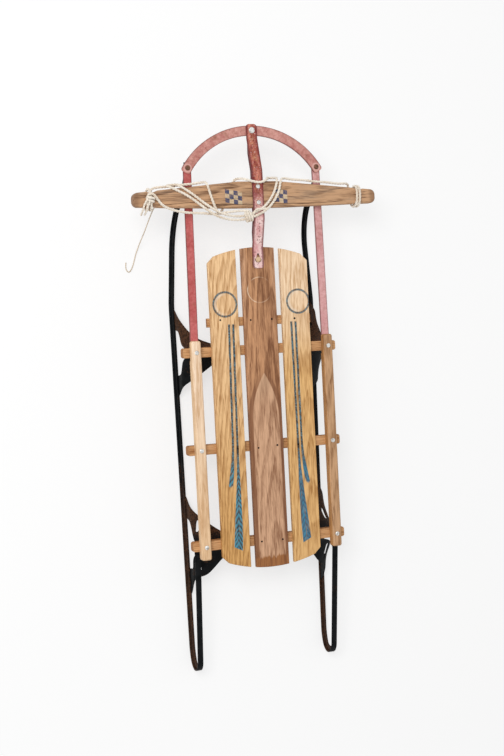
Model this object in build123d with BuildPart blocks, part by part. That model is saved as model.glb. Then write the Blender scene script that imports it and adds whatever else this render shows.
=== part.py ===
"""Runner sled: deck on two benches, four pressed knees, two sprung runners, and a bar that steers their fronts.

X is to the sled's right, Y is forward, Z is up, and the floor is Z = 0. All sizes are in mm.
"""

import os
from math import asin, atan, atan2, cos, degrees, hypot, radians, sin, sqrt, tan

from build123d import *

os.makedirs("parts", exist_ok=True)

# Plan: where the cross bars, the bumper and the pivots lie along the sled
BENCH_FRONT_Y = 112.0
BAR_MIDDLE_Y = -103.0
BENCH_REAR_Y = -316.0
CORNER_Y = 515.0
BUMPER_RISE = 81.0
PIVOT_Y = 311.0
REAR_END_Y = -610.0

# Plan: half spacings
RAIL_X = 155.5
CORNER_X = 151.0
RUNNER_KNEE_X = 170.0
RUNNER_REAR_X = 165.5

# Heights and fits
BENCH_TOP = 113.0
GAP = 0.3
BOLT_R = 3.0
HOLE_PLAY = 0.2

# Wood
BENCH_DEEP = 22.0
BENCH_TALL = 19.0
BENCH_OVER = 25.5
BENCH_ROUND = 5.0
CLEAT_Y = 176.0
CLEAT_DEEP = 20.0
CLEAT_TALL = 10.0
CLEAT_LONG = 244.0
BOARD_THICK = 10.0
BOARD_EASE = 1.2
CENTRE_BOARD = 78.0
SIDE_BOARD = 65.0
BOARD_GAP = 12.8
DECK_FRONT_Y = 339.0
DECK_REAR_Y = -376.0
DECK_CROWN_R = 300.0
DECK_CORNER = 15.0
RAIL_WIDE = 22.5
RAIL_TALL = 18.0
RAIL_FRONT_OVER = 26.0
RAIL_REAR_OVER = 29.0
HANDLE_LONG = 566.0
HANDLE_THICK = 21.0
HANDLE_Y = 452.0
HANDLE_FRONT = 30.0
HANDLE_BACK = 28.0
HANDLE_END = 30.0
HANDLE_SWEPT = 7.0
WIDE_FRONT_X = 45.0
WIDE_BACK_X = 60.0
NECK_X = 243.0
NECK_WIDE = 26.0
NECK_DEEP = 3.0

# Steel
RUNNER_SOLE = 13.0
SOLE_THICK = 3.0
RUNNER_TALL = 14.0
RUNNER_WEB = 4.0
BEND_AHEAD = 108.0
FRONT_RISE_DEG = 53.57
FRONT_SWEEP_R = 140.0
FRONT_NOSE_R = 30.0
EYE_LONG = 23.0
TAIL_SWEEP_R = 100.0
TAIL_SWEEP_DEG = 22.0
TAIL_R = 29.0
TAIL_BEND_R = 60.0
KNEE_THICK = 2.0
KNEE_IN = 77.5
KNEE_OUT = 15.0
KNEE_WAIST = 27.0
FRONT_FOOT = (54.0, 104.0)
REAR_FOOT = (54.0, 108.0)
REAR_FOOT_BACK = (66.0, 128.0)
LUG_LONG = 24.0
RAIL_BOLT_HEAD = 5.0
STRIP_WIDE = 18.0
STRIP_THICK = 4.0
BUMPER_WIDE = 22.0
BUMPER_THICK = 4.0
CHANNEL_WIDE = 25.0
CHANNEL_WALL = 2.5
FLANGE_DEEP = 8.0
HANDLE_RIDE = 6.0
TIP_FRONT = 14.0
TAB_BACK = 19.0

# Cords
ROPE_R = 3.0
TWINE_R = 1.5

# Derived levels and points
bench_low = BENCH_TOP - BENCH_TALL
deck_top = BENCH_TOP + BOARD_THICK
rail_top = BENCH_TOP + RAIL_TALL
strip_low = BENCH_TOP + GAP
strip_top = strip_low + STRIP_THICK
bumper_low = strip_top + GAP
bumper_top = bumper_low + BUMPER_THICK
bumper_y = CORNER_Y + BUMPER_RISE
bumper_r = (CORNER_X**2 + BUMPER_RISE**2) / (2 * BUMPER_RISE)
handle_low = strip_top + HANDLE_RIDE
handle_top = handle_low + HANDLE_THICK
side_in = CENTRE_BOARD / 2 + BOARD_GAP
side_out = side_in + SIDE_BOARD
bend_y = BENCH_FRONT_Y + BEND_AHEAD
toe_front = atan((RUNNER_KNEE_X - CORNER_X) / (CORNER_Y - bend_y))
toe_rear = atan((RUNNER_REAR_X - RUNNER_KNEE_X) / (bend_y - BENCH_REAR_Y))
benches = (BENCH_FRONT_Y, BAR_MIDDLE_Y, BENCH_REAR_Y)


def runner_x(y):
    """Half spacing of the runners: widest at the front knees, and in to the bumper's corners ahead of them."""
    if y > bend_y:
        return CORNER_X + (CORNER_Y - y) * tan(toe_front)
    return RUNNER_KNEE_X + (bend_y - y) * tan(toe_rear)


# Deck boards: three strips cut from one outline with crowned ends and clipped outer corners
inset = side_out - DECK_CORNER
drop = DECK_CROWN_R - sqrt(DECK_CROWN_R**2 - side_out**2) + DECK_CORNER * 0.6
slip = DECK_CROWN_R - sqrt(DECK_CROWN_R**2 - inset**2)
corners = [(inset, DECK_FRONT_Y - slip), (side_out, DECK_FRONT_Y - drop), (side_out, DECK_REAR_Y + drop),
           (inset, DECK_REAR_Y + slip)]
boards = {
    "board_centre": (0.0, CENTRE_BOARD),
    "board_left": (-(side_in + side_out) / 2, SIDE_BOARD),
    "board_right": ((side_in + side_out) / 2, SIDE_BOARD),
}
for name, (middle, wide) in boards.items():
    with BuildPart() as board:
        with BuildSketch(Plane.XY.offset(BENCH_TOP)):
            with BuildLine():
                Polyline(*corners)
                ThreePointArc(corners[3], (0, DECK_REAR_Y), (-inset, DECK_REAR_Y + slip))
                Polyline(*[(-x, y) for x, y in reversed(corners)])
                ThreePointArc((-inset, DECK_FRONT_Y - slip), (0, DECK_FRONT_Y), corners[0])
            make_face()
            with Locations((middle, (DECK_FRONT_Y + DECK_REAR_Y) / 2)):
                Rectangle(wide, DECK_FRONT_Y - DECK_REAR_Y, mode=Mode.INTERSECT)
        extrude(amount=BOARD_THICK)
        fillet(board.faces().sort_by(Axis.Z)[-1].edges(), BOARD_EASE)
        if name == "board_centre":
            with Locations((0, PIVOT_Y, BENCH_TOP)):
                Cylinder(BOLT_R + HOLE_PLAY, 3 * BOARD_THICK, mode=Mode.SUBTRACT)
    board.part.label = name
    export_step(board.part, f"parts/{name}.step")

# Front cleat under the boards, benches and middle bar
with BuildPart() as cleat:
    with Locations((0, CLEAT_Y, BENCH_TOP - CLEAT_TALL / 2)):
        Box(CLEAT_LONG, CLEAT_DEEP, CLEAT_TALL)
    fillet(cleat.edges().filter_by(Axis.X), 1.5)
cleat.part.label = "cleat_front"
export_step(cleat.part, "parts/cleat_front.step")

for name, at in zip(("bench_front", "bar_middle", "bench_rear"), benches):
    with BuildPart() as bench:
        with Locations((0, at, BENCH_TOP - BENCH_TALL / 2)):
            Box(2 * (RAIL_X + BENCH_OVER), BENCH_DEEP, BENCH_TALL)
        fillet(bench.edges().filter_by(Axis.Z), BENCH_ROUND)
        fillet(bench.faces().sort_by(Axis.Z)[-1].edges(), 2.0)
        with Locations((-RAIL_X, at, BENCH_TOP), (RAIL_X, at, BENCH_TOP)):
            Cylinder(BOLT_R + HOLE_PLAY, 3 * BENCH_TALL, mode=Mode.SUBTRACT)
    bench.part.label = name
    export_step(bench.part, f"parts/{name}.step")

# Wooden side rails, rebated under the front end for the steel rails that swing there
rail_front = BENCH_FRONT_Y + RAIL_FRONT_OVER
rail_rear = BENCH_REAR_Y - RAIL_REAR_OVER
rebate_rear = BENCH_FRONT_Y - STRIP_WIDE
for name, x in (("rail_wood_left", -RAIL_X), ("rail_wood_right", RAIL_X)):
    with BuildPart() as rail:
        with Locations((x, (rail_front + rail_rear) / 2, BENCH_TOP + RAIL_TALL / 2)):
            Box(RAIL_WIDE, rail_front - rail_rear, RAIL_TALL)
        fillet(rail.edges().filter_by(Axis.Z), 5.0)
        fillet(rail.faces().sort_by(Axis.Z)[-1].edges(), 4.5)
        with Locations((x, (rail_front + rebate_rear) / 2 + 5, BENCH_TOP)):
            Box(2 * RAIL_WIDE, rail_front - rebate_rear + 10, 2 * (strip_top + GAP - BENCH_TOP), mode=Mode.SUBTRACT)
        with Locations(*[(x, at, rail_top) for at in benches]):
            Cylinder(BOLT_R + HOLE_PLAY, 3 * RAIL_TALL, mode=Mode.SUBTRACT)
    rail.part.label = name
    export_step(rail.part, f"parts/{name}.step")

# Bolts and rivets: round head, shank, and a nut or clenched end below
def stud(x, y, low, seat, top, head_r, nut=4.0, nut_r=5.5):
    with Locations((x, y, top)):
        Cylinder(head_r, 3.0, align=(Align.CENTER, Align.CENTER, Align.MIN))
    with Locations((x, y, low)):
        Cylinder(BOLT_R, top - low + 1, align=(Align.CENTER, Align.CENTER, Align.MIN))
    with Locations((x, y, seat)):
        Cylinder(nut_r, nut, align=(Align.CENTER, Align.CENTER, Align.MAX))


knee_low = bench_low - KNEE_THICK
knee_inner = RAIL_X - KNEE_IN
knee_outer = RAIL_X + KNEE_OUT
with BuildPart() as bolts:
    for x in (-RAIL_X, RAIL_X):
        for at in benches:
            seat = bench_low if at == BAR_MIDDLE_Y else knee_low
            stud(x, at, seat - 5, seat, rail_top, RAIL_BOLT_HEAD)
    fillet(bolts.edges().group_by(Axis.Z)[-1], 2.2)
bolts.part.label = "rail_bolts"
export_step(bolts.part, "parts/rail_bolts.step")

# Runners: a T bar, sole outside, drawn in two vertical planes that meet just ahead of the front knee
eye_low = BENCH_TOP - SOLE_THICK
nose_y = CORNER_Y - 10.0
nose = nose_y - CORNER_Y
rise = radians(FRONT_RISE_DEG)
bends = FRONT_SWEEP_R + FRONT_NOSE_R
incline = (eye_low - bends * (1 - cos(rise))) / sin(rise)
touch = nose - bends * sin(rise) - incline * cos(rise)
swing = radians(TAIL_SWEEP_DEG)
tail = REAR_END_Y - CORNER_Y + TAIL_R + (TAIL_SWEEP_R - TAIL_R) * sin(swing)
curl = (tail - (TAIL_SWEEP_R - TAIL_R) * sin(swing), TAIL_SWEEP_R - (TAIL_SWEEP_R - TAIL_R) * cos(swing))
lug_top = knee_low
lug_hole = BENCH_REAR_Y - BENCH_DEEP / 2 - LUG_LONG / 2 - 1
ledge = BENCH_REAR_Y - BENCH_DEEP / 2 - LUG_LONG - CORNER_Y
crest = (ledge, lug_top - TAIL_BEND_R)
reach = hypot(crest[0] - curl[0], crest[1] - curl[1])
climb = atan2(crest[1] - curl[1], crest[0] - curl[0]) + asin((TAIL_BEND_R - TAIL_R) / reach)
print("runner touches at", round(touch + CORNER_Y, 1), "upper leg climb", round(degrees(climb), 2))


def front_incline(line_start):
    low = (touch + FRONT_SWEEP_R * sin(rise), FRONT_SWEEP_R * (1 - cos(rise)))
    high = (nose - FRONT_NOSE_R * sin(rise), eye_low - FRONT_NOSE_R * (1 - cos(rise)))
    return high if line_start else low


def tail_leg(end):
    start = (curl[0] - TAIL_R * sin(climb), curl[1] + TAIL_R * cos(climb))
    stop = (crest[0] - TAIL_BEND_R * sin(climb), crest[1] + TAIL_BEND_R * cos(climb))
    return stop if end else start


def eye_to_bend(sole):
    """The front stretch, in along and up; the web leaves out the eye and the nose."""
    if sole:
        Line((EYE_LONG - 10, eye_low), (nose, eye_low))
        JernArc((nose, eye_low), (-1, 0), FRONT_NOSE_R, degrees(rise))
    Line(front_incline(True), front_incline(False))
    JernArc(front_incline(False), (-cos(rise), -sin(rise)), FRONT_SWEEP_R, -degrees(rise))
    Line((touch, 0), ((bend_y - CORNER_Y) / cos(toe_front) - 1, 0))


def bend_to_lug(sole):
    """The rear stretch, past the hairpin; the web ends where the upper leg turns level."""
    Line((bend_y - CORNER_Y + 1, 0), (tail, 0))
    JernArc((tail, 0), (-1, 0), TAIL_SWEEP_R, -TAIL_SWEEP_DEG)
    turn = 180 - TAIL_SWEEP_DEG - degrees(climb)
    start = (curl[0] - TAIL_R * sin(swing), curl[1] - TAIL_R * cos(swing))
    JernArc(start, (-cos(swing), sin(swing)), TAIL_R, -turn)
    Line(tail_leg(False), tail_leg(True))
    if sole:
        JernArc(tail_leg(True), (cos(climb), sin(climb)), TAIL_BEND_R, -degrees(climb))
        Line((ledge, lug_top), (ledge + LUG_LONG - GAP, lug_top))


rear_way = Vector(-sin(toe_rear), cos(toe_rear), 0)
rear_start = Vector(RUNNER_KNEE_X, bend_y, 0) - rear_way * (bend_y - CORNER_Y)
front_plane = Plane((CORNER_X, CORNER_Y, 0), x_dir=(-sin(toe_front), cos(toe_front), 0),
                    z_dir=(cos(toe_front), sin(toe_front), 0))
rear_plane = Plane(rear_start, x_dir=rear_way, z_dir=(cos(toe_rear), sin(toe_rear), 0))
with BuildPart() as runner_right:
    for plane, course in ((front_plane, eye_to_bend), (rear_plane, bend_to_lug)):
        for sole, low, high, wide in ((True, 0, SOLE_THICK, RUNNER_SOLE), (False, 1, RUNNER_TALL, RUNNER_WEB)):
            with BuildLine(plane) as path:
                course(sole)
            with BuildSketch(Plane(path.line @ 0, x_dir=plane.z_dir, z_dir=path.line % 0)):
                with Locations((0, (low + high) / 2)):
                    Rectangle(wide, high - low)
            sweep(path=path.line)
    with Locations((CORNER_X, CORNER_Y, eye_low)):
        Cylinder(BOLT_R + HOLE_PLAY, 6 * SOLE_THICK, mode=Mode.SUBTRACT)
    with Locations((runner_x(lug_hole), lug_hole, lug_top)):
        Cylinder(BOLT_R + HOLE_PLAY, 6 * SOLE_THICK, mode=Mode.SUBTRACT)
runner_right.part.label = "runner_right"
export_step(runner_right.part, "parts/runner_right.step")
with BuildPart() as runner_left:
    add(mirror(runner_right.part, about=Plane.YZ))
runner_left.part.label = "runner_left"
export_step(runner_left.part, "parts/runner_left.step")

# Knees: a plate under the bench, and two arms that twist a quarter turn on the way to the runner's web
foot_low = SOLE_THICK + 0.3
arm_tall = bench_low - KNEE_THICK / 2 - foot_low


def arm_steps(at, way, foot, inner, outer):
    """Sections of one arm of the right-hand knee, from foot to bench: z, x, y, length and turn of the plate.

    at is the bench's y, and way is +1 for the front arm and -1 for the rear one.
    """
    near, far = foot
    middle = (inner + outer) / 2
    foot_x = runner_x(at + way * (near + far) / 2) - RUNNER_WEB / 2 - KNEE_THICK / 2 - 0.1
    square = 90 - way * degrees(toe_rear)
    steps = (
        (0.0, foot_x, (near + far) / 2, far - near, square),
        (0.165, foot_x, (near + far) / 2 - 7, far - near - 8, square),
        (0.43, foot_x - 1, near + 5, KNEE_WAIST, 80),
        (0.655, foot_x - 12, 0.54 * near, 1.25 * KNEE_WAIST, 26),
        (0.855, middle + 14, 0.29 * near, outer - inner - 30, 5),
        (1.0, middle, BENCH_DEEP / 2 - KNEE_THICK, outer - inner - 2, 0),
    )
    return [(foot_low + share * arm_tall, x, at + way * y, long, -way * turn) for share, x, y, long, turn in steps]


for name, at, foot in (("knee_front", BENCH_FRONT_Y, FRONT_FOOT), ("knee_rear", BENCH_REAR_Y, REAR_FOOT)):
    rear = name == "knee_rear"
    with BuildPart() as knee:
        with Locations(((knee_inner + knee_outer) / 2, at, bench_low - KNEE_THICK / 2)):
            Box(knee_outer - knee_inner, BENCH_DEEP, KNEE_THICK)
        if rear:
            lug_y = at - BENCH_DEEP / 2 - LUG_LONG / 2
            with Locations((runner_x(lug_y) - 0.5, lug_y + 1, bench_low - KNEE_THICK / 2)):
                Box(16, LUG_LONG + 2, KNEE_THICK)
        for way in (1, -1):
            outer = RAIL_X - 11 if rear and way < 0 else knee_outer
            span = REAR_FOOT_BACK if rear and way < 0 else foot
            for z, x, y, long, turn in arm_steps(at, way, span, knee_inner, outer):
                with BuildSketch(Plane.XY.offset(z)):
                    with Locations((x, y)):
                        Rectangle(long, KNEE_THICK, rotation=turn)
            loft(ruled=True)
        with Locations((RAIL_X, at, bench_low)):
            Cylinder(BOLT_R + HOLE_PLAY, 6 * KNEE_THICK, mode=Mode.SUBTRACT)
        if rear:
            with Locations((runner_x(lug_hole), lug_hole, bench_low)):
                Cylinder(BOLT_R + HOLE_PLAY, 6 * KNEE_THICK, mode=Mode.SUBTRACT)
            slot_z = foot_low + 0.64 * arm_tall
            with BuildSketch(Plane((runner_x(at) - 12, at, slot_z), x_dir=(1, 0, 0), z_dir=(0, -1, 0))):
                SlotOverall(14, 5, rotation=60)
            extrude(amount=40, both=True, mode=Mode.SUBTRACT)
    knee.part.label = f"{name}_right"
    export_step(knee.part, f"parts/{name}_right.step")
    with BuildPart() as knee_other:
        add(mirror(knee.part, about=Plane.YZ))
    knee_other.part.label = f"{name}_left"
    export_step(knee_other.part, f"parts/{name}_left.step")

# Rivets that hold the runners' upper legs under the lugs
with BuildPart() as leg_rivets:
    for side in (-1, 1):
        foot = lug_top - SOLE_THICK
        stud(side * runner_x(lug_hole), lug_hole, foot, foot, bench_low, 5.0, 2.0, 5.0)
    fillet(leg_rivets.edges().group_by(Axis.Z)[-1], 1.6)
leg_rivets.part.label = "leg_rivets"
export_step(leg_rivets.part, "parts/leg_rivets.step")

# Pivot bolt of the steering bar, through the centre board
tab_low = deck_top + GAP
with BuildPart() as pivot_bolt:
    stud(0, PIVOT_Y, BENCH_TOP - 5, BENCH_TOP, tab_low + CHANNEL_WALL + GAP, 6.2)
    fillet(pivot_bolt.edges().group_by(Axis.Z)[-1], 2.2)
pivot_bolt.part.label = "pivot_bolt"
export_step(pivot_bolt.part, "parts/pivot_bolt.step")

# Steel front rails, from the front bench bolts to the bumper's corners
strip_long = hypot(RAIL_X - CORNER_X, CORNER_Y - BENCH_FRONT_Y)
lean = degrees(atan((RAIL_X - CORNER_X) / (CORNER_Y - BENCH_FRONT_Y)))
for name, side in (("rail_steel_left", -1), ("rail_steel_right", 1)):
    ends = [(side * RAIL_X, BENCH_FRONT_Y), (side * CORNER_X, CORNER_Y)]
    with BuildPart() as strip:
        with BuildSketch(Plane.XY.offset(strip_low)):
            with Locations((side * (RAIL_X + CORNER_X) / 2, (BENCH_FRONT_Y + CORNER_Y) / 2)):
                SlotCenterToCenter(strip_long, STRIP_WIDE, rotation=90 + side * lean)
            with Locations(*ends):
                Circle(BOLT_R + HOLE_PLAY, mode=Mode.SUBTRACT)
        extrude(amount=STRIP_THICK)
    strip.part.label = name
    export_step(strip.part, f"parts/{name}.step")

# Bumper: a flat bar bent to an arc, with clipped ends
sweep_deg = degrees(asin(CORNER_X / bumper_r))
end_deg = degrees(11.0 / bumper_r)
hub_y = bumper_y - bumper_r
with BuildPart() as bumper:
    with BuildSketch(Plane.XY.offset(bumper_low)):
        with BuildLine():
            half = sweep_deg + end_deg
            inner_r, outer_r = bumper_r - BUMPER_WIDE / 2, bumper_r + BUMPER_WIDE / 2
            a0, a1 = 90 - half, 90 + half
            outer = CenterArc((0, hub_y), outer_r, a0, a1 - a0)
            inner = CenterArc((0, hub_y), inner_r, a0, a1 - a0)
            Line(outer @ 0, inner @ 0)
            Line(outer @ 1, inner @ 1)
        make_face()
    extrude(amount=BUMPER_THICK)
    fillet(bumper.edges().filter_by(Axis.Z), 6.0)
    with Locations((-CORNER_X, CORNER_Y, bumper_low), (CORNER_X, CORNER_Y, bumper_low), (0, bumper_y, bumper_low)):
        Cylinder(BOLT_R + HOLE_PLAY, 4 * BUMPER_THICK, mode=Mode.SUBTRACT)
bumper.part.label = "bumper"
export_step(bumper.part, "parts/bumper.step")

# Corner rivets, through bumper, steel rail and runner eye; and the middle bolt, with the bar's play under its head
with BuildPart() as corner_rivets:
    for x in (-CORNER_X, CORNER_X):
        stud(x, CORNER_Y, eye_low - GAP, eye_low - GAP, bumper_top, 5.5, 2.5)
    fillet(corner_rivets.edges().group_by(Axis.Z)[-1], 2.2)
corner_rivets.part.label = "corner_rivets"
export_step(corner_rivets.part, "parts/corner_rivets.step")

front_low = bumper_top + GAP
drift = (bumper_y - PIVOT_Y) * (1 - cos(radians(8))) - (CORNER_Y - BENCH_FRONT_Y) * (1 - cos(radians(5.8)))
front_hole = BOLT_R + abs(drift) + 0.5
with BuildPart() as middle_bolt:
    stud(0, bumper_y, bumper_low - 5, bumper_low, front_low + CHANNEL_WALL + GAP, 7.0)
    fillet(middle_bolt.edges().group_by(Axis.Z)[-1], 2.2)
middle_bolt.part.label = "middle_bolt"
export_step(middle_bolt.part, "parts/middle_bolt.step")

# Steering bar: a pressed channel, flanges down, flat tabs at bumper and deck, cranked up over the handle
tip_y = bumper_y + TIP_FRONT
tab_y = PIVOT_Y - TAB_BACK
crown_front = HANDLE_Y + HANDLE_FRONT + 23
crown_rear = HANDLE_Y - HANDLE_BACK - 24
crank = [(tip_y, front_low), (bumper_y - 18, front_low), (crown_front, handle_top), (crown_rear, handle_top),
         (PIVOT_Y + 25, tab_low), (tab_y, tab_low)]


def web_low(y):
    for (y1, z1), (y0, z0) in zip(crank, crank[1:]):
        if y0 <= y <= y1:
            return z0 + (z1 - z0) * (y - y0) / (y1 - y0)


skirt = [bumper_y - 30, bumper_y - 51, crown_front, crown_rear, PIVOT_Y + 61, PIVOT_Y + 39]
depth = [0.0, FLANGE_DEEP, FLANGE_DEEP, FLANGE_DEEP, FLANGE_DEEP, 0.0]
with BuildPart() as channel:
    with BuildSketch(Plane.YZ):
        with BuildLine():
            Polyline(*crank, *[(y, z + CHANNEL_WALL) for y, z in reversed(crank)], close=True)
        make_face()
    extrude(amount=CHANNEL_WIDE / 2, both=True)
    fillet(channel.edges().filter_by(Axis.Z).group_by(Axis.Y)[0], 7.0)
    fillet(channel.edges().filter_by(Axis.Z).group_by(Axis.Y)[-1], 7.0)
    for side in (-1, 1):
        with BuildSketch(Plane.YZ.offset(side * (CHANNEL_WIDE - CHANNEL_WALL) / 2)):
            with BuildLine():
                lower = [(y, web_low(y) - d) for y, d in zip(skirt, depth)]
                upper = [(y, web_low(y) + 1.2) for y in reversed(skirt)]
                Polyline(*lower, *upper, close=True)
            make_face()
        extrude(amount=CHANNEL_WALL / 2, both=True)
    with Locations((0, bumper_y, front_low)):
        Cylinder(front_hole, 8 * CHANNEL_WALL, mode=Mode.SUBTRACT)
    with BuildSketch(Plane.XY.offset(tab_low - 1)):
        with Locations((0, PIVOT_Y + 3.0)):
            SlotOverall(16, 2 * (BOLT_R + HOLE_PLAY), rotation=90)
    extrude(amount=3 * CHANNEL_WALL, mode=Mode.SUBTRACT)
    with Locations((0, HANDLE_Y + 18, handle_top), (0, HANDLE_Y - 17, handle_top)):
        Cylinder(BOLT_R + HOLE_PLAY, 8 * CHANNEL_WALL, mode=Mode.SUBTRACT)
channel.part.label = "steering_bar"
export_step(channel.part, "parts/steering_bar.step")

# Handle: a board that tapers to both ends, grooved for the bar's flanges and necked for the rope
end_x = HANDLE_LONG / 2
scoop_r = (NECK_WIDE**2 / 4 + NECK_DEEP**2) / (2 * NECK_DEEP)


def front_edge(x):
    along = max(0.0, (abs(x) - WIDE_FRONT_X) / (end_x - WIDE_FRONT_X))
    return HANDLE_Y + HANDLE_FRONT + along * (HANDLE_END / 2 - HANDLE_SWEPT - HANDLE_FRONT)


def rear_edge(x):
    along = max(0.0, (abs(x) - WIDE_BACK_X) / (end_x - WIDE_BACK_X))
    return HANDLE_Y - HANDLE_BACK - along * (HANDLE_END / 2 + HANDLE_SWEPT - HANDLE_BACK)


with BuildPart() as handle:
    with BuildSketch(Plane.XY.offset(handle_low)):
        with BuildLine():
            right = [(x, front_edge(x)) for x in (WIDE_FRONT_X, end_x)] + [(x, rear_edge(x)) for x in (end_x, WIDE_BACK_X)]
            left = [(-x, y) for x, y in reversed(right)]
            Polyline(*right, *left, close=True)
        face = make_face()
        fillet(face.vertices().filter_by(lambda v: abs(v.X) > end_x - 1), 12.0)
    extrude(amount=HANDLE_THICK)
    fillet(handle.faces().sort_by(Axis.Z)[-1].edges(), 4.0)
    fillet(handle.faces().sort_by(Axis.Z)[0].edges(), 4.0)
    for side in (-1, 1):
        scoops = [front_edge(NECK_X) - NECK_DEEP + scoop_r, rear_edge(NECK_X) + NECK_DEEP - scoop_r]
        with Locations(*[(side * NECK_X, y, handle_top) for y in scoops]):
            Cylinder(scoop_r, 4 * HANDLE_THICK, mode=Mode.SUBTRACT)
        with Locations((side * (CHANNEL_WIDE - CHANNEL_WALL) / 2, HANDLE_Y, handle_top)):
            Box(CHANNEL_WALL + 0.4, 4 * HANDLE_FRONT, 2 * (FLANGE_DEEP + 0.2), mode=Mode.SUBTRACT)
    with Locations((0, HANDLE_Y + 18, handle_top), (0, HANDLE_Y - 17, handle_top)):
        Cylinder(BOLT_R + HOLE_PLAY, 4 * HANDLE_THICK, mode=Mode.SUBTRACT)
handle.part.label = "handle"
export_step(handle.part, "parts/handle.step")

with BuildPart() as handle_rivets:
    for y in (HANDLE_Y + 18, HANDLE_Y - 17):
        stud(0, y, handle_low, handle_low, handle_top + CHANNEL_WALL, 5.0, 2.0)
    fillet(handle_rivets.edges().group_by(Axis.Z)[-1], 2.0)
handle_rivets.part.label = "handle_rivets"
export_step(handle_rivets.part, "parts/handle_rivets.step")

# Tow rope: x, the line that y is measured from, y past it, the handle face that z is measured from, z past it
rope_route = [
    # out of the handle's underside, and two turns round the right neck
    (246.5, "mid", -13, "under", 0), (246.5, "mid", -13, "under", -12), (245, "front", 6, "under", -9),
    (243.5, "front", 5.5, "over", 6.5),
    (241.5, "rear", -5.5, "over", 6.5), (240, "rear", -5.5, "under", -6.5), (238, "front", 5.5, "under", -6.5),
    (236.5, "front", 5.5, "over", 6.5), (234.5, "rear", -5.5, "over", 6.5), (233, "rear", -5.5, "under", -6.5),
    # along the front face to the strands' top
    (229, "front", 7, "under", -5), (219, "front", 10, "under", 9), (196, "front", 6.5, "under", 14),
    (168, "front", 8, "under", 13), (140, "front", 6.5, "under", 15), (112, "front", 8, "under", 15),
    (86, "front", 6.5, "under", 17), (66, "front", 8, "over", -4), (53.5, "front", 5, "over", 6.5),
    # outer strand: over the bar, behind the handle, over it and round a bight at the front edge
    (49, "mid", 8, "over", 4.6), (37, "mid", -14, "over", 4.6), (18, "mid", -33, "over", 8),
    (-3, "mid", -44.5, "over", 8.5), (-26, "mid", -52, "over", 7), (-50, "mid", -55.5, "over", 5),
    (-78, "mid", -52.5, "over", 8), (-101, "mid", -45.5, "over", 10.5), (-120.5, "mid", -32.5, "over", 10),
    (-141, "mid", -15.5, "over", 6), (-164, "mid", 1.5, "over", 4.6), (-186, "mid", 12, "over", 5),
    (-204, "front", 5, "over", 6.5), (-206, "front", 8, "over", -5), (-200, "front", 8.5, "over", -11),
    (-189, "front", 8.5, "over", -11), (-183, "front", 8, "over", -5), (-182, "front", 5, "over", 6.5),
    # inner strand: back beside the outer one, to a bight at the front edge
    (-165, "mid", 12.5, "over", 5), (-148, "mid", 1, "over", 5), (-130, "mid", -14, "over", 7),
    (-113, "mid", -27, "over", 10.5), (-95, "mid", -37.5, "over", 10.5), (-74, "mid", -44.5, "over", 8),
    (-49, "mid", -47.5, "over", 5.5), (-26, "mid", -44.5, "over", 7), (-6, "mid", -37, "over", 8.5),
    (13, "mid", -26, "over", 8), (29, "mid", -9, "over", 4.8), (40.5, "mid", 12, "over", 4.6),
    (45.5, "front", 5, "over", 6.5), (46, "front", 8, "over", -9), (41.5, "front", 8.5, "over", -18),
    (31, "front", 8.5, "over", -18), (26.5, "front", 8, "over", -9), (23, "front", 4, "over", 7.5),
    # along the front edge over the bar, then once round the handle
    (6, "front", -4.5, "over", 8.5), (-16, "front", -1, "over", 8.5), (-33, "front", 5, "over", 6.5),
    (-40, "front", 7.5, "over", -12), (-46, "front", 7, "under", -6), (-60, "mid", -2, "under", -7),
    (-78, "rear", -7, "under", -6), (-90, "rear", -6.5, "over", -9), (-99, "rear", -5.5, "over", 5.5),
    (-107, "mid", -10, "over", 4.2), (-113, "mid", 10, "over", 4.2), (-119, "front", 6, "over", 6),
    # along the front face to the left neck, and two turns round it
    (-124, "front", 7.5, "under", 8), (-146, "front", 6.5, "under", 4), (-171, "front", 7.5, "under", 2.5),
    (-197, "front", 6.5, "under", 2), (-222, "front", 8, "under", 2), (-239, "front", 6.5, "under", -5.5),
    (-242, "rear", -5.5, "under", -6.5), (-244, "rear", -5.5, "over", 6.5), (-246, "front", 5.5, "over", 6.5),
    (-248, "front", 5.5, "under", -6.5), (-250, "rear", -5.5, "under", -6.5), (-252.5, "rear", -5.5, "over", 6.5),
    # over its own turns, then slack behind the handle and under both strands to the knot
    (-254, "mid", -3, "over", 7), (-249.5, "mid", 6, "over", 12.5), (-240, "mid", 3.5, "over", 14),
    (-231, "mid", -8.5, "over", 11), (-221, "mid", -20, "over", 7), (-204, "rear", -4, "over", 4),
    (-181, "rear", -9, "over", -1), (-154, "rear", -11, "over", -4), (-125, "rear", -11.5, "over", -4),
    (-98, "mid", -41, "over", -3), (-76, "mid", -37, "over", 0), (-54, "mid", -35.5, "over", 5.5),
    (-37, "mid", -32, "over", 9), (-25, "mid", -30, "over", 10.5),
]
rope_points = []
for x, line, out, face, up in rope_route:
    y = {"mid": HANDLE_Y, "front": front_edge(x), "rear": rear_edge(x)}[line] + out
    rope_points.append(Vector(x, y, (handle_top if face == "over" else handle_low) + up))

# Twine: from under the handle's left end down to the floor
twine_points = [
    Vector(-229, rear_edge(229) + 7, handle_low), Vector(-229, rear_edge(229) + 7, handle_low - 10),
    Vector(-231, 420, 94), Vector(-234, 401, 70), Vector(-236, 385, 49), Vector(-239, 369, 27), Vector(-242, 354, 9.5),
    Vector(-247, 338, 2.4), Vector(-252, 320, 1.8), Vector(-257.5, 305.5, 1.8), Vector(-264, 297.5, 1.8),
    Vector(-270, 302, 1.8), Vector(-271.5, 311, 1.8), Vector(-270, 321, 1.8),
]


def corner_radii(points):
    """An arc at each inner point that takes 0.45 of the shorter run beside it."""
    radii = []
    for before, here, after in zip(points, points[1:], points[2:]):
        run_in, run_out = here - before, after - here
        half_turn = radians(run_in.get_angle(run_out)) / 2
        radii.append(0.45 * min(run_in.length, run_out.length) / tan(half_turn))
    return radii


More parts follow.
